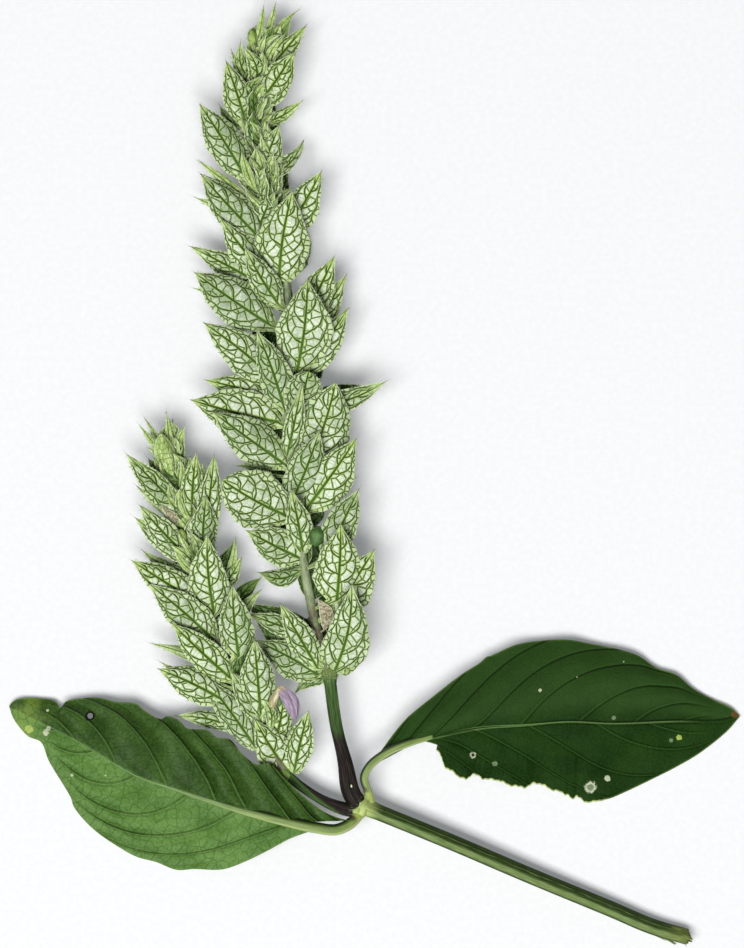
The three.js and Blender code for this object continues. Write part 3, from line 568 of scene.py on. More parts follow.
def cells(place, across):
    """Cells of a plane, so many mm across: the distance in mm to the nearest edge between two."""
    inputs = dict(Vector=place, Scale=1 / across)
    settings = dict(voronoi_dimensions="2D", feature="DISTANCE_TO_EDGE")
    return add_node("TexVoronoi", inputs.items(), "Distance", **settings) * across


def linear(red, green, blue):
    """A colour as it looks on a screen, 0 to 255, to the numbers that light adds up in."""
    return (*((c / 12.92 if c <= 0.04045 else ((c + 0.055) / 1.055) ** 2.4)
              for c in (red / 255, green / 255, blue / 255)), 1.0)


def blend(share, first, second):
    """The first colour where the share is 0, the second where it is 1."""
    return add_node("Mix", ((0, share), (6, first), (7, second)), 2, data_type="RGBA")


def surface(name, paint, **settings):
    """A material. paint(tree) gives its colour, its height in mm, and its roughness."""
    material = bpy.data.materials.new(name)
    material.use_nodes = True
    tree = material.node_tree
    shader = tree.nodes["Principled BSDF"]
    for setting, value in settings.items():
        shader.inputs[setting.replace("_", " ")].default_value = value
    colour, height, roughness = paint(tree)
    join(colour, shader.inputs["Base Color"])
    join(roughness, shader.inputs["Roughness"])
    bump = tree.nodes.new("ShaderNodeBump")
    bump.inputs["Distance"].default_value = MM
    join(height, bump.inputs["Height"])
    tree.links.new(bump.outputs["Normal"], shader.inputs["Normal"])
    return material


# ---------------------------------------------------------------- bracts

# Colours are given as they look on a screen, 0 to 255.
WHITE = (206, 216, 196)            # the middle of a cell of the net
GREY = (144, 159, 132)
BRIGHT = (170, 195, 104)           # beside its veins, and in the small cells along the margin
RIM = (200, 211, 172)
VEIN = (36, 68, 2)
FOOT_VEIN = (54, 90, 22)           # a midrib near its foot
FAINT_VEIN = (100, 131, 48)
YOUNG = (126, 154, 62)
PALE_YOUNG = (198, 215, 148)
# A bract's inner face: its green painted darker, as painted shade.
SHADED_INNER = (66, 98, 38)
WILTED = (122, 106, 82)
PALE_WILTED = (196, 186, 164)


def paint_bract(tree):
    x, y, seed = mark(tree, "place")
    u, s, half = mark(tree, "form")
    green, inner, length = mark(tree, "tone")
    # Each bract shows its own part of the pattern.
    own_x, own_y, own_vein = (seed * shift for shift in SEED_SHIFTS)
    place = vector(x + own_x, y + own_y, seed)
    wander = noise(place, 0.5) - 0.5
    out = u.size()
    from_margin = (1 - out) * half

    # Side veins sweep forward into a marginal vein.
    left = u.step(-0.01, 0.01)
    reach = out.least(VEIN_LIMIT - 0.03)
    sweep = (1 - reach / VEIN_LIMIT).logarithm(math.e)
    turn = (s + sweep * VEIN_SWEEP) / VEIN_STEP + left * 0.5 + own_vein + wander * 0.25
    slope_along = 1 / length
    slope_out = VEIN_SWEEP / ((VEIN_LIMIT - reach) * half.most(0.3))
    spacing = VEIN_STEP / (slope_along * slope_along + slope_out * slope_out).power(0.5)
    side_distance = turn.zigzag(0.5) * spacing
    apart = spacing.step(0.4, 0.9) * out.step(VEIN_LIMIT + 0.02, VEIN_LIMIT - 0.04)

    # It bulges outwards between two of them.
    joint = (s + VEIN_SWEEP * 2.0) / VEIN_STEP + left * 0.5 + own_vein
    bulge = joint.zigzag(0.5) * 0.26
    marginal = (out - VEIN_LIMIT + 0.09 - bulge + wander * 0.12).size() * half

    # A net of large cells fills the space between, and one of small cells lines the margin.
    flat = vector(x + wander * 0.5 + own_x, y + wander * 0.5 + own_y, 0.0)
    large_net = cells(flat, LARGE_CELL)
    small_net = cells(flat, SMALL_CELL)
    broad = half.step(0.5, 1.5)
    at_margin = (out - bulge).step(VEIN_LIMIT - 0.16, VEIN_LIMIT - 0.07) * broad
    inside = from_margin.step(0.02, 0.12)

    rib_half = half.least(2.4) * (0.11 - s * 0.065) + 0.045
    midrib = x.size().line(rib_half)
    side = side_distance.line(0.15) * apart * broad
    loop = marginal.line(0.13) * s.step(0.03, 0.2) * broad
    clear = (side_distance + (1 - apart)).least(marginal).step(0.1, 0.36) * x.size().step(0.15, 0.4)
    cross = large_net.line(0.12) * clear * (1 - at_margin) * broad
    bead = small_net.line(0.115) * at_margin * inside
    strong = (midrib * (0.6 + broad * 0.4)).most(side).most(loop * 0.95).most(cross * 0.88).most(bead * 0.88)
    strong = strong * (1 - green.step(1.0, 1.3) * 0.75)
    faint = small_net.line(0.08) * (1 - at_margin) * inside
    near = (x.size() - rib_half).least(side_distance + (1 - apart)).least(marginal)
    glow = near.least(large_net + 0.04 + at_margin).step(0.42, 0.08).most(at_margin * 0.6)

    mottle = noise(place, 2.6, 3.0)
    cloud = noise(place, 0.3, 2.0)
    streak = noise(vector(x * 4.0 + own_x, y * 0.35, seed), 1.0)
    ground = blend((mottle * 0.6 + cloud * 1.0 + seed * 0.35).step(0.62, 1.2), GREY, WHITE)
    ground = blend(glow * (0.6 + seed * 0.35), ground, BRIGHT)
    young = (green * (0.45 + seed * 0.6)).most(s.step(0.2, 0.0) * 0.5).most(s.step(0.82, 1.0) * 0.35)
    young_colour = blend(streak.step(0.35, 0.65), YOUNG, PALE_YOUNG)
    ground = blend(young.least(1.0) * 0.75, ground, young_colour)
    # Painted shade: where a bract shows its inner face, its green is darker.
    ground = blend(inner.most(0.0) * 0.75, ground, SHADED_INNER)
    wilted = inner.step(-0.1, -0.5)
    ground = blend(wilted, ground, blend(mottle.step(0.35, 0.65), WILTED, PALE_WILTED))
    strong = strong * (1 - wilted * 0.7)
    ground = blend(from_margin.step(0.2, 0.06) * 0.8, ground, RIM)
    colour = blend(faint * (0.3 + green * 0.4), ground, FAINT_VEIN)
    vein_colour = blend(midrib * s.step(0.5, 0.1) * broad, VEIN, FOOT_VEIN)
    colour = blend(strong * 0.95, colour, vein_colour)
    height = (1 - strong) * 0.12 + mottle * 0.05 - faint * 0.03 + streak * green * 0.1
    return colour, height, 0.6 + mottle * 0.12


def paint_hair(tree):
    x, y, seed = mark(tree, "place")
    grain = noise(vector(x, y, seed), 1.2)
    return blend(grain.step(0.35, 0.7), (150, 172, 104), (214, 224, 190)), grain * 0.01, 0.5


@dataclass
class Bract:
    """A bract from its root to its tip, in plan, and how it stands."""

    root: np.ndarray
    tip: np.ndarray
    width: float
    lift: float
    roll: float = 0.0
    outward: int = 1             # 1 where its back faces +Z, -1 where it faces the surface
    lowest: float = LOWEST
    green: float = 0.0
    number: int = 0
    form: dict = field(default_factory=dict)


class Rachis:
    """The axis of a spike, and where on it a bract is seated."""

    SAMPLES = 200

    def __init__(self, route):
        self.fine = curve_through(on_sheet(route), 60)
        self.length = length_of(self.fine)
        self.marks = along(self.fine, np.linspace(0, 1, self.SAMPLES + 1))

    def at(self, distance):
        return along(self.fine, [np.clip(distance / self.length, 0, 1)])[0]

    def way_at(self, distance):
        return unit(self.at(distance + 0.1) - self.at(distance - 0.1))

    def point_behind(self, root, back):
        """The point nearest to a root, moved back towards the spike's foot."""
        nearest = np.argmin(np.linalg.norm(self.marks[:, :2] - root[:2], axis=1))
        return self.at(max(nearest * self.length / self.SAMPLES - back, FIRST_CLAW))


def bract_half_width(share, heel, point):
    """An egg-shaped outline that ends in a drawn-out point; 1 where it is widest."""
    widest = (heel - 0.08 * point) / (heel + point)
    outline = (share + 0.08) ** heel * (1 - share) ** point
    return outline / ((widest + 0.08) ** heel * (1 - widest) ** point)


def bract_form(bract, draw, fine):
    """How a bract is shaped: by chance within narrow limits, unless its own row says otherwise."""
    form = dict(heel=draw.uniform(0.8, 1.05), point=draw.uniform(1.15, 1.35))
    form.update(bow=draw.uniform(-0.06, 0.06), lopsided=draw.uniform(-0.07, 0.07))
    form.update(left_curl=draw.uniform(-0.12, 0.2), right_curl=draw.uniform(-0.12, 0.2))
    form.update(wave=draw.uniform(0.1, 0.35), keel=BRACT_KEEL * draw.uniform(0.7, 1.5))
    form.update(dip=draw.uniform(-0.9, 0.5) / 15)
    if not fine:
        form.update(wave=0.5, bow=draw.uniform(-0.45, 0.45), dip=draw.uniform(-0.16, 0.1))
    return {**form, **bract.form}


def margin_hairs(blade, shares, length, axes, draw, seed):
    """A hair on a bract's tip, and hairs along both its margins. Axes run ahead, to the left and up."""
    ahead, left, up = axes
    feet, ways = [blade[-1, blade.shape[1] // 2]], [ahead + up * 0.2]
    count = int(length / HAIR_SPACING)
    for edge, outward in ((blade[:, 0], left), (blade[:, -1], -left)):
        at = draw.uniform(0.12, 0.99, count)
        feet.extend(np.stack([np.interp(at, shares, column) for column in edge.T], axis=-1))
        lean = [draw.uniform(low, high, count)[:, None] for low, high in ((0.3, 1), (0.3, 1), (-0.3, 0.6))]
        ways.extend(outward * lean[0] + ahead * lean[1] + up * lean[2])
    lengths = draw.uniform(*HAIR_LENGTHS, len(feet))
    lengths[0] = TIP_HAIR
    return hair_shell(np.array(feet), np.array(ways), lengths, seed)


def bract_spine(rachis, bract, form, rows, length, level):
    """Shares of a bract's length, and its middle line and half width there. Its claw comes first."""
    claw = rachis.point_behind(bract.root, CLAW_BACK)
    claw_rows = np.array(CLAW_ROWS)
    in_claw = claw[:2] + (bract.root - claw[:2]) * claw_rows[:, None]
    in_blade = bract.root + (bract.tip - bract.root) * rows[:, None]
    plan = np.vstack([in_claw, in_blade])
    distance = np.linalg.norm(plan - claw[:2], axis=1)
    height = claw[2] + bract.lift * (BRACT_LIFT * distance - BRACT_EASE * distance ** 2)
    middle = np.column_stack([plan, height])
    shares = np.concatenate([(claw_rows - 1) * CLAW_SHARE, rows])
    inner = np.clip(shares, 0, 1)
    middle += level * (form["bow"] * bract.width * np.sin(math.pi * inner))[:, None]
    middle[:, 2] += form["dip"] * length * inner ** 4
    half = bract.width / 2 * np.maximum(bract_half_width(inner, form["heel"], form["point"]), SLIMMEST)
    claw_half = min(CLAW_HALF, bract.width / 3)
    half[:len(claw_rows)] = claw_half + (half[len(claw_rows)] - claw_half) * claw_rows
    return shares, middle, half


def bract_relief(form, u, s, wide, scale, seed, start):
    """How far each point of a bract stands off the plane of its middle: its keel, curl, waves and veins."""
    left, out = u > 0, np.abs(u)
    lean = -(form["keel"] * out ** 1.6 - BRACT_BULGE * np.sin(math.pi * out)) * wide
    # Side veins press the blade into low quilts, and the midrib stands a little proud.
    sweep = np.log(1 - np.minimum(out, VEIN_LIMIT - 0.03) / VEIN_LIMIT)
    turn = (s + sweep * VEIN_SWEEP) / VEIN_STEP + 0.5 * left + seed * SEED_SHIFTS[2]
    quilt = np.abs(np.sin(math.pi * turn)) * np.sin(math.pi * np.minimum(out / VEIN_LIMIT, 1)) * QUILT_HEIGHT
    rib_height, rib_reach = BRACT_RIB
    lean += quilt * scale + rib_height * scale * np.exp(-(u * wide / rib_reach) ** 2)
    curl = np.where(left, form["left_curl"], form["right_curl"]) * smooth(out, 0.5, 1.0) ** 1.5
    lean += curl * wide * np.sin(math.pi * np.clip(s * 1.15, 0, 1)) ** 0.5
    lean += scale * form["wave"] * np.sin(s * 11 + start + 2 * left) * out ** 2
    return lean


def bract_shells(rachis, bract):
    """A bract's blade, and the hairs along its margin."""
    draw = np.random.default_rng(bract.number + 1)
    fine = bract.width >= BROAD_BRACT
    form = bract_form(bract, draw, fine)
    rows = np.linspace(0, 1, FINE_ROWS if fine else COARSE_ROWS)
    columns = np.array(FINE_COLUMNS if fine else COARSE_COLUMNS)

    chord = bract.tip - bract.root
    length = np.linalg.norm(chord)
    chord = np.array([*(chord / length), 0])
    level = np.array([-chord[1], chord[0], 0])
    angle = math.radians(bract.roll)
    side = level * math.cos(angle) + np.array([0, 0, math.sin(angle)])
    back = np.cross(chord, side)
    shares, middle, half = bract_spine(rachis, bract, form, rows, length, level)

    # u runs from 1 at the left margin to -1 at the right, s from the bract's root to its tip.
    u, s = np.meshgrid(np.concatenate([columns[::-1], -columns[1:]]), shares)
    left, out = u > 0, np.abs(u)
    wide = half[:, None] * (1 + form["lopsided"] * np.sign(u))
    scale = min(1, bract.width / FULL_RELIEF)
    seed = bract.number * SEED_STEP % 1
    phase = draw.uniform(0, 2 * math.pi, 3)
    waver = sum(depth * np.sin(s * pace + phase[k] + (k + 1) * left)
                for k, (pace, depth) in enumerate(MARGIN_WAVES))
    across = u * wide * (1 + waver * out ** 3)
    beads = np.abs(np.sin(math.pi * s * length / BRACT_BEAD + phase[2])) * np.clip(wide / 2, 0, 1)
    across += np.sign(u) * BEAD_HEIGHT * scale * beads * out ** 8
    lean = bract_relief(form, u, s, wide, scale, seed, phase[0]) * bract.outward
    points = middle[:, None] + side * across[..., None] + back * lean[..., None]
    points[..., 2] = np.maximum(points[..., 2], bract.lowest)
    thickness = BRACT_THICKNESS / 2 * (1 - 0.6 * out ** 3) * (1 - 0.5 * np.clip(s, 0, 1) ** 3)
    offset = back * thickness[..., None]

    place = np.stack([u * wide, s * length, np.full(u.shape, seed)], axis=-1)
    spot = np.stack([u, s, wide], axis=-1)
    # Above 0, the front shows the bract's inner face, painted a darker green as shade; below 0 the bract is
    # wilted. Bracts of the underside have 1.
    inside = np.full(u.shape, form.get("inside", 1.0 if bract.outward < 0 else 0.0))
    green = np.full(u.shape, form.get("green", bract.green))
    tones = (np.stack([green, face, np.full(u.shape, length)], axis=-1) for face in (inside, 1 - inside))
    front, rear = (dict(place=place, form=spot, tone=tone) for tone in tones)
    blade = blade_shell(points + offset, points - offset, front, rear)
    in_claw = len(CLAW_ROWS)
    return blade, margin_hairs(points[in_claw:], rows, length, (chord, side, back), draw, seed)


def facing_bracts(rows, first_number):
    """The bracts that were placed one by one. Those near the spike's top and narrow ones are greener."""
    made = []
    foot, top = rows[0][1], min(row[1] for row in rows)
    for k, (x0, y0, x1, y1, squares, lift, *roll) in enumerate(rows):
        share = (foot - y0) / (foot - top)
        width = squares * SQUARE
        green = float(np.clip(smooth(share, 0.68, 1.0) * 0.55 + smooth(-width, -4.2, -2.2) * 0.45, 0, 1))
        number = first_number + k
        made.append(Bract(on_sheet([x0, y0]), on_sheet([x1, y1]), width, lift, roll[0] if roll else 0,
                          green=green, number=number, form=OWN_FORMS.get(number, {})))
    return made


def under_bracts(rachis, rule, first_number):
    """Bracts against the surface, left and right in turn, smaller towards the spike's top."""
    draw = seeded(rule["seed"])

    def jitter(spread):
        return (draw() - 0.5) * spread

    made = []
    for k in range(rule["count"]):
        distance = rule["first"] + k * rule["step"]
        root = rachis.at(distance)
        way = rachis.way_at(distance)
        taper = 1 - UNDER_TAPER * (distance / rachis.length) ** 2
        angle = math.radians((1 if k % 2 else -1) * rule["turn"] + jitter(16))
        reach = (rule["length"] + jitter(2.5)) * taper
        heading = math.atan2(way[1], way[0]) + angle
        tip = root[:2] + reach * np.array([math.cos(heading), math.sin(heading)])
        green = float(smooth(distance / rachis.length, 0.5, 1.0) * 0.6)
        made.append(Bract(root[:2], tip, (rule["width"] + jitter(1.6)) * taper, -UNDER_LIFT, outward=-1,
                          lowest=LOWEST + UNDER_LAYER * (k % 4), green=green, number=first_number + k))
    return [bract for k, bract in enumerate(made) if k not in rule["missing"]]


def top_bracts(rachis, rule, first_number):
    """Small bracts crowded round a spike's top, shorter towards its tip."""
    draw = seeded(rule["seed"])
    made = []
    for k in range(rule["count"]):
        share = k / (rule["count"] - 1)
        distance = rule["first"] + (rachis.length - rule["first"]) * share
        around = math.radians((draw() - 0.5) * TOP_AROUND)
        root, way = rachis.at(distance), rachis.way_at(distance)
        aside = rule["turn"] * math.sin(around) + rule["lean"] * share + (draw() - 0.5) * 14
        heading = math.atan2(way[1], way[0]) - math.radians(aside)
        reach = (rule["longest"] + (rule["shortest"] - rule["longest"]) * share) * (0.75 + 0.4 * draw())
        tip = root[:2] + reach * np.array([math.cos(heading), math.sin(heading)])
        lift = 0.35 + 1.0 * max(math.cos(around), 0) * (0.6 + 0.6 * draw())
        roll = -45 * math.sin(around) + (draw() - 0.5) * 70
        width = rule["width"] * (0.5 + 1.1 * draw())
        green = 0.9 * draw()
        form = dict(wave=0.7, dip=(draw() - 0.6) * 0.3, bow=(draw() - 0.5) * 1.1)
        # Some show their inner side, painted darker as shade between the crowded bracts.
        form.update(inside=float(k % TOP_SHADED_EVERY == 2))
        made.append(Bract(root[:2], tip, width, lift, roll, green=green, number=first_number + k, form=form))
    return made


def paint_green(tree):
    x, y, seed = mark(tree, "place")
    dark, brown, _ = mark(tree, "form")
    grain = noise(vector(x, y * 0.35, seed), 2.2, 4.0)
    patch = noise(vector(x, y, seed + 3.0), 0.5, 2.0)
    share = (grain * 0.6 + patch * 0.6).step(0.35, 0.85)
    colour = blend(share, (112, 140, 50), (176, 200, 104))
    colour = blend(dark, colour, blend(share, (44, 74, 24), (92, 130, 66)))
    colour = blend(brown, colour, blend(share, (96, 112, 76), (160, 172, 132)))
    colour = blend(brown * y.step(16.5, 11.0) * patch.step(0.3, 0.55) * 0.85, colour, (84, 66, 46))
    return colour, grain * 0.12, 0.55 + grain * 0.15


def rachis_shell(rachis, number):
    """The axis of a spike, with four low ribs."""
    def section_at(share):
        radius = RACHIS_RADIUS + (RACHIS_TIP_RADIUS - RACHIS_RADIUS) * share
        return section(radius * (1 + 0.05 * np.cos(4 * turns(16))))

    def marks_at(share, around):
        return dict(place=(around * 8, share * rachis.length, number), form=(0, 1, 0))

    return tube_shell(along(rachis.fine, np.linspace(0, 1, 90)), section_at, marks_at)


def ellipsoid_shell(middle, half_length, half_width, turn_degrees, number, dark=0.0):
    """A swollen body with a blunt point at its far end."""
    angle = math.radians(turn_degrees)
    way = np.array([math.cos(angle), math.sin(angle), 0])
    closing = 0.97                  # the rings stop this far out, where the end closes over them
    route = middle + way * (np.linspace(-closing, closing, 18) * half_length)[:, None]

    def section_at(share):
        here = (share * 2 - 1) * closing
        return section(half_width * math.sqrt(1 - here * here) * (1 - 0.25 * smooth(here, 0.2, 1.0)))

    def marks_at(share, around):
        return dict(place=(around * 6, share * half_length * 2, number), form=(dark, 0, 0))

    return tube_shell(route, section_at, marks_at)


def spike(node, route, rows, under_rule, top_rule, buds, first_number):
    """A spike: its rachis, its bracts, a few to a piece, its buds, and the hairs of them all."""
    rachis = Rachis(route)
    piece(f"{node}_rachis", [rachis_shell(rachis, first_number)], GREEN_MATERIAL, "bracts", node)
    facing = facing_bracts(rows, first_number)
    under = under_bracts(rachis, under_rule, first_number + len(rows))
    top = top_bracts(rachis, top_rule, first_number + 500)
    hairs = []
    for kind, bracts in (("bracts", facing), ("under_bracts", under), ("top_bracts", top)):
        a_piece = len(top) if bracts is top else BRACTS_A_PIECE
        for k in range(0, len(bracts), a_piece):
            shells = [bract_shells(rachis, bract) for bract in bracts[k:k + a_piece]]
            name = f"{node}_{kind}_{k // a_piece + 1:02d}"
            piece(name, [blade for blade, _ in shells], BRACT_MATERIAL, "bracts", node)
            hairs.extend(hair for _, hair in shells)
    piece(f"{node}_hairs", hairs, HAIR_MATERIAL, "bracts", node)
    shells = []
    for k, (x, y, above, half_length, half_width, turn, dark) in enumerate(buds):
        middle = on_sheet([x, y, 0])
        middle[2] = rachis.point_behind(middle, 0)[2] + above
        shells.append(ellipsoid_shell(middle, half_length, half_width, turn, k, dark))
    piece(f"{node}_buds", shells, GREEN_MATERIAL, "bracts", node)


# ---------------------------------------------------------------- leaves


SCAR = (176, 184, 154)
DULL_SCAR = (104, 120, 90)
YELLOW_SCAR = (150, 170, 84)
BROWN_SCAR = (92, 66, 34)
DARK_SCAR = (20, 26, 10)
EATEN = (178, 188, 122)

# Marks on the blades: x, y, radius in mm, colour.
LEFT_SPOTS = [
    [90, 716, 1.15, DARK_SCAR], [45, 733, 0.7, SCAR], [48, 729, 0.5, SCAR], [71, 776, 0.35, SCAR],
    [105, 776, 0.2, SCAR], [47, 711, 0.3, SCAR], [28, 730, 0.9, YELLOW_SCAR],
]
RIGHT_SPOTS = [
    [591, 788, 1.25, SCAR], [591, 788, 0.75, DULL_SCAR], [608, 779, 0.65, SCAR], [473, 755, 0.7, SCAR],
    [473, 755, 0.35, DARK_SCAR], [495, 764, 0.6, DULL_SCAR], [540, 690, 0.35, SCAR],
    [614, 718, 0.45, DULL_SCAR], [672, 741, 0.45, DULL_SCAR], [680, 738, 0.6, YELLOW_SCAR],
    [736, 715, 0.8, BROWN_SCAR], [577, 677, 0.15, SCAR], [624, 662, 0.15, SCAR],
]


def paint_leaf(tree, under, spots):
    x, y, seed = mark(tree, "place")
    v, t, margin = mark(tree, "form")
    turn, pitch, rib = mark(tree, "veins")
    place = vector(x, y, seed)
    grain = noise(place, 2.4, 4.0)
    patch = noise(place, 0.16, 3.0)
    wander = noise(place, 0.45) - 0.5
    signed = (turn - turn.rounded()) * pitch
    side = signed.size()
    taper = 1 - v.size() * 0.55
    apart = pitch.step(*PITCH_FADE)
    vein = side.line(0.17 * taper) * apart
    # Painted shadow: a dark line along one side of each side vein.
    beside = (side - 0.3).size().line(0.16) * signed.step(-0.05, 0.05) * apart
    net_place = vector(x + wander * 1.6, y + wander * 2.1, 0.0)
    net = cells(net_place, 2.1).line(0.075)
    fine_net = cells(net_place, 0.7).line(0.05)
    mottle = (grain * 0.55 + patch * 0.6).step(0.35, 0.8)
    ridge = side.step(0.75 * taper, 0.0) * apart
    if under:
        # Painted shade: the half above the midrib is darker, as that half turns away from the light.
        lower = blend(mottle, (62, 98, 34), (96, 130, 64))
        shaded_upper = blend(mottle, (30, 56, 8), (62, 92, 32))
        ground = blend(v.step(-0.02, 0.04), lower, shaded_upper)
        ground = blend(t.step(0.82, 0.97) * patch.step(0.4, 0.6) * 0.6, ground, (116, 140, 48))
        colour = blend(net * 0.3, ground, (50, 84, 26))
        # Painted shadow beside each vein.
        colour = blend(beside * 0.25, colour, (40, 70, 20))
        colour = blend(vein * 0.25, colour, (104, 134, 70))
        height = ridge * 0.3 + vein * 0.08 - net * 0.07 + grain * 0.1
    else:
        ground = blend(mottle, (13, 36, 4), (30, 58, 14))
        # Painted sheen: the half above the midrib is lighter, where it faces the light.
        ground = blend(v.step(0.0, 0.3) * 0.45, ground, (52, 80, 36))
        colour = blend(net * 0.1, ground, (54, 82, 40))
        colour = blend(fine_net * 0.07, colour, (60, 86, 46))
        # Painted shadow beside each vein.
        colour = blend(beside * 0.5, colour, (12, 28, 4))
        colour = blend(vein * 0.4, colour, (54, 82, 38))
        # Two pale lines along the midrib run together into one, with a dark line beside it:
        # a painted shadow in the midrib's groove.
        lines = (rib.size() - t.step(0.42, 0.1) * 0.4).size().line(0.16)
        colour = blend((rib - 0.36).size().line(0.2) * t.step(0.25, 0.45) * 0.7, colour, (12, 26, 6))
        colour = blend(lines * t.step(0.9, 0.75) * 0.8, colour, (96, 124, 70))
        height = 0.5 - ridge * 0.16 - vein * 0.05 - net * 0.05 - rib.size().line(0.4) * 0.2 + grain * 0.08
    colour = blend(margin.step(0.4, 0.1) * 0.4, colour, (104, 132, 58))
    if not under:
        eaten = t.step(0.03, 0.06) * t.step(0.6, 0.55) * v.step(-0.2, -0.4)
        colour = blend(eaten * (margin + grain * 0.3).step(0.5, 0.3) * 0.8, colour, EATEN)
    for spot_x, spot_y, radius, tone in spots:
        across, down, _ = on_sheet([spot_x, spot_y, 0])
        apart = ((x - float(across)).power(2.0) + (y - float(down)).power(2.0)).power(0.5)
        reach = apart + (grain - 0.5) * radius
        colour = blend(reach.step(radius * 1.05, radius * 0.75) * 0.95, colour, tone)
    return colour, height, 0.5 + grain * 0.16


def moving_mean(values, reach, **pad):
    """Values evened out over so many neighbours on each side."""
    width = 2 * reach + 1
    return np.convolve(np.pad(values, reach, **pad), np.ones(width) / width, mode="valid")


def across_leaf(knots, v):
    """Height across one half of a leaf, from the midrib over the fold to the edge, rounded at the fold."""
    spread = np.linspace(-FOLD_REACH, FOLD_REACH, 9)
    reads = [np.interp(np.clip(v + step, 0, 1), [0, LEAF_FOLD, 1], knots) for step in spread]
    return np.mean(reads, axis=0)


def leaf_half(leaf, hand, shares, v):
    """One half of a leaf: its points, a row for each share of its length, and at each of them the running
    number of the side veins, the distance from one vein to the next, and the distance to the edge."""
    rib = along(curve_through(on_sheet(leaf["midrib"])), shares)
    tip = on_sheet(leaf["midrib"][-1])[:2]
    edge_curve = curve_through(np.vstack([on_sheet(leaf[f"edge_{hand}"]), tip]), 12)
    edge = along(edge_curve, shares)
    even = np.linspace(0, 1, 101)

    def profile(name):
        knots = np.array(leaf[f"{name}_{hand}"])
        values = np.interp(even, knots[:, 0], knots[:, 1])
        return np.interp(shares, even, moving_mean(values, 4, mode="edge"))

    fold, droop = profile("fold"), profile("droop")
    bites = sum(np.abs(np.sin(shares * pace + start)) * depth for pace, start, depth in EATEN_WAVES)
    edge[:, 1] += leaf[f"eaten_{hand}"] * bites * smooth(shares, 0.02, 0.05) * (1 - smooth(shares, 0.52, 0.6))
    plan = rib[:, None, :2] + (edge - rib[:, :2])[:, None] * v[:, None]
    height = np.array([across_leaf(knots, v) for knots in zip(rib[:, 2], fold, droop)])
    near, far = leaf[f"sweep_{hand}"]
    # The veins keep to smooth curves where the edge is jagged.
    dense = along(edge_curve, np.linspace(0, 1, 201))
    calm = along(np.column_stack([moving_mean(line, 30, mode="reflect", reflect_type="odd")
                                  for line in dense.T]), shares)
    calm[-1] += 0.1                 # off the midrib's end, so that no distance is 0
    way = np.gradient(rib[:, :2], axis=0)
    way /= np.linalg.norm(way, axis=1)[:, None]
    drift = ((edge - calm) * way).sum(axis=1) / length_of(rib)
    reach = np.linalg.norm(edge - rib[:, :2], axis=1)
    out = v * (reach / np.linalg.norm(calm - rib[:, :2], axis=1))[:, None]
    foot = shares[:, None] + drift[:, None] * v - near * out - far * out ** 3
    veins = leaf[f"veins_{hand}"]
    steps = np.diff(veins)
    turn = np.interp(foot, veins, np.arange(len(veins)))
    turn += np.minimum(foot - veins[0], 0) / steps[0] + np.maximum(foot - veins[-1], 0) / steps[-1]
    pleat = np.abs(np.sin(math.pi * turn)) ** PLEAT_POWER
    pleat = 1 - pleat if leaf["underside"] else pleat
    fade = smooth(v, 0.0, 0.18) * (1 - 0.75 * smooth(v, 0.7, 1.0)) * smooth(1 - shares, 0.0, 0.3)[:, None]
    ripple_height, ripple_pace = LEAF_RIPPLE
    ripple = ripple_height * np.sin(shares * ripple_pace)[:, None] * v ** 8
    along_steps = np.linalg.norm(np.gradient(plan, axis=0), axis=-1)
    across_steps = np.linalg.norm(np.gradient(plan, axis=1), axis=-1)
    steepness = np.hypot(np.gradient(turn, axis=0) / np.maximum(along_steps, 1e-3),
                         np.gradient(turn, axis=1) / np.maximum(across_steps, 1e-3))
    pitch = 1 / np.maximum(steepness, 0.05)
    fade = fade * smooth(pitch, *PITCH_FADE)
    height = height + leaf[f"pleat_{hand}"] * (pleat - 0.4) * fade + ripple
    return np.dstack([plan, height]), turn, pitch, (1 - v) * reach[:, None]


def leaf_blade(leaf, number):
    """Both halves of a leaf as one shell, with the hole that was eaten in it if it has one."""
    # Shares of its length, and of the way from its midrib to its edge, at which it has points.
    shares = np.concatenate([np.linspace(0, 0.94, 210), np.linspace(0.945, 1, 16)])
    v = np.concatenate([[0, 0.012, 0.03, 0.055], np.linspace(0.085, 0.9, 24), [0.93, 0.96, 0.985, 1]])
    halves = zip(leaf_half(leaf, "a", shares, v), leaf_half(leaf, "b", shares, v))
    points, turn, pitch, margin = (np.concatenate([a[:, ::-1], b[:, 1:]], axis=1) for a, b in halves)
    middle = len(v) - 1
    turn[:, middle + 1:] += 20      # the veins of the second half have numbers of their own
    signed = np.broadcast_to(np.concatenate([v[::-1], -v[1:]]), turn.shape)
    # The columns run from the leaf's left edge to its right, so that its front faces +Z.
    low, high = 60, 90
    across, ahead = points[low, 0] - points[low, -1], points[high, middle] - points[low, middle]
    if across[0] * ahead[1] - across[1] * ahead[0] > 0:
        grids = (points, turn, pitch, margin, signed)
        points, turn, pitch, margin, signed = (grid[:, ::-1] for grid in grids)
    gone = None
    if leaf["hole"]:
        x, y, radius = leaf["hole"]
        apart = points[..., :2] - on_sheet([x, y])
        distance = np.linalg.norm(apart, axis=-1)
        gone = distance < radius
        push = apart / np.maximum(distance, 1e-6)[..., None] * (radius - distance)[..., None]
        points[gone, :2] += push[gone]
    rib = np.sign(signed) * np.linalg.norm(points[..., :2] - points[:, middle:middle + 1, :2], axis=-1)
    points[..., 2] = np.maximum(points[..., 2], LEAF_THICKNESS / 2 + LEAF_LOWEST)
    shape = turn.shape
    marks = dict(
        place=np.dstack([points[..., :2], np.full(shape, number)]),
        form=np.dstack([signed, np.broadcast_to(shares[:, None], shape), margin]),
        veins=np.dstack([turn, pitch, rib]),
    )
    half = LEAF_THICKNESS / 2 * (1 - 0.5 * np.abs(signed) ** 6)
    offset = np.dstack([np.zeros(shape), np.zeros(shape), half])
    return blade_shell(points + offset, points - offset, marks, gone=gone)


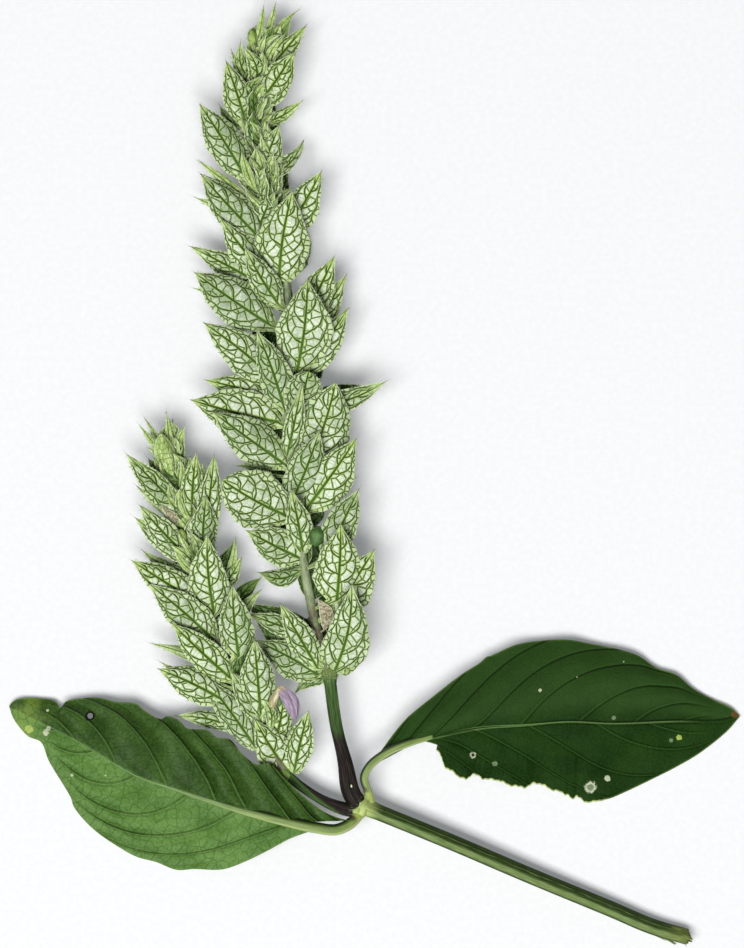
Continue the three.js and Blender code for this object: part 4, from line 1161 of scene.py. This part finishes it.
def leaf_stalk(leaf, number):
    """A petiole that runs on as the midrib: on the underside it stands proud, above it sinks in."""
    under = leaf["underside"]
    route = curve_through(np.vstack([on_sheet(leaf["petiole"]), on_sheet(leaf["midrib"])[:-1]]), 16)
    petiole_share = length_of(curve_through(on_sheet(leaf["petiole"]))) / length_of(route)
    shares = np.linspace(0, 1, PETIOLE_RINGS)
    route = along(route, shares)
    if not under:
        sunk = smooth(shares, petiole_share * 0.9, petiole_share * 1.55)
        route[:, 2] += RIDGE_HEIGHT - RIDGE_DROP * sunk
        route[:, 2] -= RIDGE_HEIGHT * (1 - smooth(shares, 0.0, petiole_share * 0.6))

    def section_at(share):
        in_blade = smooth(share, petiole_share * 0.8, petiole_share + (0.45 if under else 0.15))
        radius = leaf["petiole_radius"] + (MIDRIB_HALF - leaf["petiole_radius"]) * in_blade
        radius *= 1 - 0.72 * smooth(share, petiole_share + 0.3, 1.0)
        radius -= JOINT_DIP * math.exp(-((share * PETIOLE_MARKS - JOINT_AT) / 0.4) ** 2)
        channel = 1 - 0.18 * np.exp(-((turns(16) - math.pi / 2) / 0.5) ** 2) * (not under)
        return section(1) * np.column_stack([np.ones(16), channel]) * radius

    def marks_at(share, around):
        way = around * 2 * math.pi
        into_blade = smooth(share, petiole_share, petiole_share + (0.5 if under else 0.2))
        shady = -np.cos(way) if under else np.cos(way)
        return dict(place=(np.cos(way), share * PETIOLE_MARKS, number), form=(into_blade, np.sin(way), shady))

    return tube_shell(route, section_at, marks_at)


def leaf(name, plan, spots, slot, gloss, number):
    """A leaf: its blade, and the stalk that runs on as its midrib."""
    def paint(tree):
        return paint_leaf(tree, plan["underside"], spots)

    material = surface(slot, paint, Specular_IOR_Level=gloss)
    piece(f"{name}_blade", [leaf_blade(plan, number)], material, slot, name)
    piece(f"{name}_stalk", [leaf_stalk(plan, number)], STALK_MATERIAL, slot, name)


# ---------------------------------------------------------------- stems


def paint_stem(tree):
    around, distance, seed = mark(tree, "place")
    dark, pale, band = mark(tree, "form")
    streak = noise(vector(around * 2.2, distance * 0.16, seed), 1.6, 4.0)
    grain = noise(vector(around * 3, distance, seed), 2.0, 3.0)
    fibre = noise(vector(around * 7, distance * 0.28, seed), 1.6, 3.0)
    ground = blend(streak.step(0.3, 0.75), (36, 62, 24), (84, 112, 58))
    # Painted light and shade: the internode is lighter on its side towards the light, and darker on its other
    # side and along the outer edge of the lit side; a painted highlight runs along a ridge on the darker
    # side.
    light_side = (around + (streak - 0.5) * 1.1).step(0.15, -0.45) * (around + 2).step(0.1, 0.45)
    ridge_highlight = (around - 0.95 + (streak - 0.5) * 0.8).size().line(0.14) * (0.2 + fibre.step(0.35, 0.6) * 0.6)
    lit = blend((streak * 0.5 + fibre * 0.8).step(0.45, 0.85), (76, 102, 44), (128, 144, 92))
    shaded_side = blend(fibre.step(0.35, 0.7), (36, 54, 14), (58, 78, 30))
    skin_with_painted_light = blend(light_side.most(ridge_highlight), shaded_side, lit)
    torn = blend(fibre.step(0.4, 0.62), (58, 72, 14), (134, 144, 76))
    skin_with_painted_light = blend((distance + (fibre - 0.5) * 8.0).step(64.0, 71.0) * 0.75, skin_with_painted_light, torn)
    ground = blend(band, ground, skin_with_painted_light)
    foot = blend(streak.step(0.3, 0.7), (138, 160, 82), (184, 196, 124))
    ground = blend(pale, ground, foot)
    shade = blend(streak.step(0.4, 0.8), (22, 18, 14), (58, 46, 42))
    colour = blend((dark + (streak - 0.5) * 1.1).step(0.3, 0.7), ground, shade)
    return colour, streak * 0.25 + grain * 0.05, 0.45 + grain * 0.15


def paint_stalk(tree):
    around, distance, seed = mark(tree, "place")
    blade, above, shady = mark(tree, "form")
    streak = noise(vector(around * 1.2, above * 2.4 + distance * 0.16, seed), 1.5, 4.0)
    skin_with_painted_light = blend(streak.step(0.3, 0.75), (86, 110, 40), (128, 148, 74))
    # Painted shade darkens the side of the petiole away from the light; a painted highlight lightens the
    # upper part of the side towards it.
    skin_with_painted_light = blend((shady + streak * 0.4).step(0.4, 0.95), skin_with_painted_light, (34, 52, 16))
    skin_with_painted_light = blend(shady.step(-0.35, -0.75) * above.step(0.2, 0.5) * 0.6, skin_with_painted_light, (176, 192, 130))
    # A petiole has a brown joint, with a pale foot below it.
    skin_with_painted_light = blend(distance.step(JOINT_AT, JOINT_AT - 0.8) * 0.7, skin_with_painted_light, (156, 172, 84))
    joint = (distance - JOINT_AT + (streak - 0.5) * 1.5).size().line(0.5)
    skin_with_painted_light = blend(joint * (shady + 0.4).step(0.0, 0.6) * 0.8, skin_with_painted_light, (66, 56, 26))
    sunk = blend(streak.step(0.3, 0.75), (84, 116, 52), (122, 150, 92))
    return blend(blade, skin_with_painted_light, sunk), streak * 0.2, 0.5 + streak * 0.1


def angled_section(radius, turn_degrees, sides=64):
    """Four blunt angles with a groove between each two, finely ribbed."""
    turned = turns(sides) - math.radians(turn_degrees)
    blunt = sum(np.abs(wave(turned)) ** ANGLE_POWER for wave in (np.cos, np.sin)) ** (-1 / ANGLE_POWER)
    groove = 0.05 * np.exp(-((np.mod(turned, math.pi / 2) - math.pi / 4) / 0.16) ** 2)
    return section(radius * (blunt - groove + 0.01 * np.cos(28 * turned)), sides)


def splinter(points, half, number):
    """A fibre that stands out of the cut end, pointed."""
    def marks_at(share, around):
        place = (np.cos(around * 2 * math.pi), share * 3, number * 3.7)
        return dict(place=place, form=(0, 0.15 + 0.3 * (number % 3), 0))

    route = along(curve_through(points), np.linspace(0, 1, 14))
    return tube_shell(route, lambda share: section(half, 8) * (1 - 0.85 * share ** 2), marks_at)


def tear(shell, before, end):
    """Frays the cut end of a stem: its outer fibres are broken off at different lengths."""
    way = unit(end - before)
    across = unit(np.cross([0, 0, 1], way))
    offset = shell.points - end
    at_end = offset @ way > -FRAYED_END
    angle = np.arctan2(offset[:, 2], offset @ across)
    radius = np.linalg.norm(offset - np.outer(offset @ way, way), axis=1) / STEM_END_HALF
    jag = 0.3 + np.sin(angle * 5 + 0.6) * 0.25 + np.sin(angle * 13) * 0.2
    jag -= np.maximum(np.cos(angle), 0) ** 2 * 1.1 + np.maximum(-np.cos(angle), 0) ** 2 * 0.5
    shell.points[at_end] += np.outer(jag * radius, way)[at_end]


def stretch(route, count, half_at, dark_at, pale_at, turn, number):
    """A length of stem: how thick, how dark and how pale it is at each share of it, and how it is turned."""
    fine = along(curve_through(on_sheet(route)), np.linspace(0, 1, count))
    length = length_of(fine)

    def marks_at(share, around):
        way = around * 2 * math.pi
        return dict(place=(np.cos(way) * 2, share * length, np.sin(way) * 2 + number),
                    form=(dark_at(share, way), pale_at(share), float(number == 0)))

    return tube_shell(fine, lambda share: angled_section(half_at(share), turn), marks_at)


def tuft(skin, middle, count, spread, lean, lengths, seed, draw):
    """Hairs on points of a skin, which stand away from its middle and lean one way."""
    feet = skin[draw.integers(0, len(skin), count)]
    ways = feet - middle + draw.normal(0, spread, (count, 3)) + lean
    return hair_shell(feet, ways, draw.uniform(*lengths, count), seed)


def stems():
    def internode_half(t):
        return STEM_HALF + (STEM_END_HALF - STEM_HALF) * t + NODE_SWELL * (1 - smooth(t, 0.0, 0.06))

    def peduncle_half(t):
        half = PEDUNCLE_HALF + (PEDUNCLE_TOP_HALF - PEDUNCLE_HALF) * smooth(t, 0.12, 0.5)
        return half + PEDUNCLE_FLARE * smooth(t, 0.86, 0.95) - PEDUNCLE_TAPER * smooth(t, 0.94, 1.0)

    def side_half(t):
        return SIDE_PEDUNCLE_HALF + SIDE_PEDUNCLE_FLARE * (1 - smooth(t, 0.1, 0.6))

    internode = stretch(STEM_ROUTE, 120, internode_half,
                        lambda t, way: 0.15 * smooth(t, 0.96, 1.0),
                        lambda t: 1 - smooth(t, 0.0, 0.06), 90, 0)
    tear(internode, on_sheet(STEM_ROUTE[-2]), on_sheet(STEM_ROUTE[-1]))
    peduncle = stretch(PEDUNCLE_ROUTE, 80, peduncle_half,
                       lambda t, way: 1 - smooth(t + 0.1 * np.sin(way), 0.36, 0.88) - (t < 0.03),
                       lambda t: 1 - smooth(t, 0.0, 0.06) + 0.6 * smooth(t, 0.88, 0.98), 60, 10)
    # The side peduncle is dark near the node, and on the side away from the light the dark reaches further
    # along: there it is painted shade.
    side = stretch(SIDE_PEDUNCLE_ROUTE, 60, side_half,
                   lambda t, way: 1 - smooth(t + 0.45 * np.cos(way), 0.3, 0.75) - (t < 0.06),
                   lambda t: 1 - smooth(t, 0.0, 0.1), 45, 20)
    knot = ellipsoid_shell(on_sheet(NODE_AT), *NODE_HALF, NODE_TURN, 30)
    knot.marks["form"] = np.tile([0, 1, 0], (len(knot.points), 1))
    lenticel = ellipsoid_shell(on_sheet(LENTICEL_AT), *LENTICEL, 31)
    splinters = [splinter(on_sheet(route), half, k) for k, (half, *route) in enumerate(SPLINTERS)]
    stem_material = surface("stem", paint_stem, Specular_IOR_Level=0.12)
    piece("stem_skin", [internode, peduncle, side, knot, *splinters], stem_material, "stem", "stem")
    draw = np.random.default_rng(7)
    hairs = tuft(knot.points, on_sheet(NODE_AT), NODE_HAIRS, 0.5, NODE_HAIR_LEAN, (0.5, 1.3), 0.5, draw)
    # The peduncle is hairy too where the lowest bracts sit.
    top = on_sheet(PEDUNCLE_ROUTE[-1])
    around_top = peduncle.points[np.linalg.norm(peduncle.points - top, axis=1) < COLLAR_REACH]
    collar = tuft(around_top, top, COLLAR_HAIRS, 0.8, COLLAR_LEAN, (0.4, 1.2), 0.4, draw)
    piece("stem_hairs", [hairs, collar, lenticel], HAIR_MATERIAL, "stem", "stem")


# ---------------------------------------------------------------- the wilted flower


def paint_petal(tree):
    x, y, seed = mark(tree, "place")
    streak = noise(vector(x * 2.2, y * 0.4, seed), 1.4, 3.0)
    lilac = blend(streak.step(0.3, 0.75), (118, 100, 120), (168, 150, 170))
    lilac = blend(x.size().line(0.16) * y.step(6.0, 3.0) * 0.6, lilac, (112, 88, 116))
    lilac = blend(y.step(1.6, 0.2) * 0.7, lilac, (176, 160, 96))
    cream = blend(streak.step(0.35, 0.7), (150, 138, 96), (208, 206, 170))
    return blend(seed.step(1.0, 2.0), lilac, cream), streak * 0.2, 0.5


def corolla():
    root, tip = on_sheet(COROLLA_LIP["root"]), on_sheet(COROLLA_LIP["tip"])
    chord = unit(tip - root)
    side = unit(np.cross([0, 0, 1], chord))
    share, u = np.meshgrid(np.linspace(0, 1, 48), np.linspace(1, -1, 25), indexing="ij")
    half = COROLLA_LIP["width"] / 2 * bract_half_width(share, 0.9, 0.75)
    bow = COROLLA_LIP["bow"] * np.sin(math.pi * share)
    lift = 0.6 * np.sin(math.pi * share) - 0.5 * u ** 2 * share + 0.12 * np.sin(u * 9 + share * 4) * share
    points = root + (tip - root) * share[..., None] + side * (u * half + bow)[..., None]
    points[..., 2] += lift
    marks = dict(place=np.dstack([u * half, share * 7, np.zeros(share.shape)]))
    offset = np.array([0, 0, 0.1])
    lip = blade_shell(points + offset, points - offset, marks)
    tube = tube_shell(along(curve_through(on_sheet(COROLLA_TUBE)), np.linspace(0, 1, 24)),
                      lambda share: section(0.75 + 0.12 * math.sin(share * 5)),
                      lambda share, around: dict(place=(around * 4, share * 4, 3)))
    piece("corolla_lip", [lip, tube], surface("petal", paint_petal), "petal", "corolla")


# ---------------------------------------------------------------- the sprig

BRACT_MATERIAL = surface("bract", paint_bract, Specular_IOR_Level=0.1)
GREEN_MATERIAL = surface("green_stalk", paint_green)
STALK_MATERIAL = surface("pale_stalk", paint_stalk)
HAIR_MATERIAL = surface("hair", paint_hair)

spike("main_spike", MAIN_RACHIS, MAIN_BRACTS, MAIN_UNDER, MAIN_TOP, MAIN_BUDS, 0)
spike("side_spike", SIDE_RACHIS, SIDE_BRACTS, SIDE_UNDER, SIDE_TOP, SIDE_BUDS, 100)
stems()
leaf("leaf_left", LEFT_LEAF, LEFT_SPOTS, "leaf_under", 0.2, 1)
leaf("leaf_right", RIGHT_LEAF, RIGHT_SPOTS, "leaf_upper", 0.04, 2)
corolla()

# ---------------------------------------------------------------- floor, light and camera

FLOOR_SIDE = 1.6                 # metres, from here on
FLOOR_DROP = 5e-5                # the floor lies this far under the sprig
PAPER_DARK = (0.575, 0.575, 0.575, 1)    # these colours are shares of full light
PAPER_LIGHT = (0.605, 0.605, 0.605, 1)
# The floor glows a little though it is no lamp: painted light, which lightens the shadows on it.
PAPER_GLOW = (0.92, 0.96, 1.0, 1.0)
PAPER_GLOW_STRENGTH = 0.2
SKY = (0.95, 0.97, 1.0, 1)
SKY_STRENGTH = 0.13
LIGHT_AT = (-0.55, -1.1, 2.95)
LIGHT_SIZE = (2.9, 1.3)
LIGHT_POWER = 150.0
LENS = 300.0                     # millimetres on a 36 mm sensor
SENSOR = 36.0
PICTURE = (744, 948)
MIDDLE_HEIGHT = 0.005            # the height that the picture's scale holds at


def floor():
    mesh = bpy.data.meshes.new("floor")
    side = FLOOR_SIDE / 2
    corners = [(-side, -side), (side, -side), (side, side), (-side, side)]
    mesh.from_pydata([(x, y, -FLOOR_DROP) for x, y in corners], [], [(0, 1, 2, 3)])
    made = bpy.data.objects.new("floor", mesh)
    bpy.context.scene.collection.objects.link(made)

    def paint(tree):
        place = tree.nodes.new("ShaderNodeTexCoord")
        speck = noise(Field(tree, place.outputs["Object"]), 900.0, 3.0)
        return blend(speck.step(0.3, 0.8), PAPER_DARK, PAPER_LIGHT), speck * 0.01, 0.9

    glow = dict(Emission_Color=PAPER_GLOW, Emission_Strength=PAPER_GLOW_STRENGTH)
    mesh.materials.append(surface("floor_paper", paint, **glow))


def studio():
    """A pale sky, and one long soft light that looks at the origin."""
    world = bpy.data.worlds.new("studio")
    bpy.context.scene.world = world
    world.use_nodes = True
    background = world.node_tree.nodes["Background"]
    background.inputs["Color"].default_value = SKY
    background.inputs["Strength"].default_value = SKY_STRENGTH
    data = bpy.data.lights.new("light_bar", "AREA")
    data.shape = "RECTANGLE"
    data.size, data.size_y = LIGHT_SIZE
    data.energy = LIGHT_POWER
    light = bpy.data.objects.new("light_bar", data)
    light.location = LIGHT_AT
    x, y, z = LIGHT_AT
    light.rotation_euler = (math.atan2(math.hypot(x, y), z), 0, math.atan2(x, -y))
    bpy.context.scene.collection.objects.link(light)
    bpy.context.scene.view_settings.view_transform = "Standard"


def camera():
    data = bpy.data.cameras.new("camera")
    data.lens = LENS
    data.sensor_width = SENSOR
    view_height = PICTURE[1] * SQUARE * MM
    distance = view_height * LENS / SENSOR
    made = bpy.data.objects.new("camera", data)
    centre = on_sheet([PICTURE[0] / 2, PICTURE[1] / 2]) * MM
    made.location = (centre[0], centre[1], MIDDLE_HEIGHT + distance)
    bpy.context.scene.collection.objects.link(made)
    bpy.context.scene.camera = made


floor()
studio()
camera()
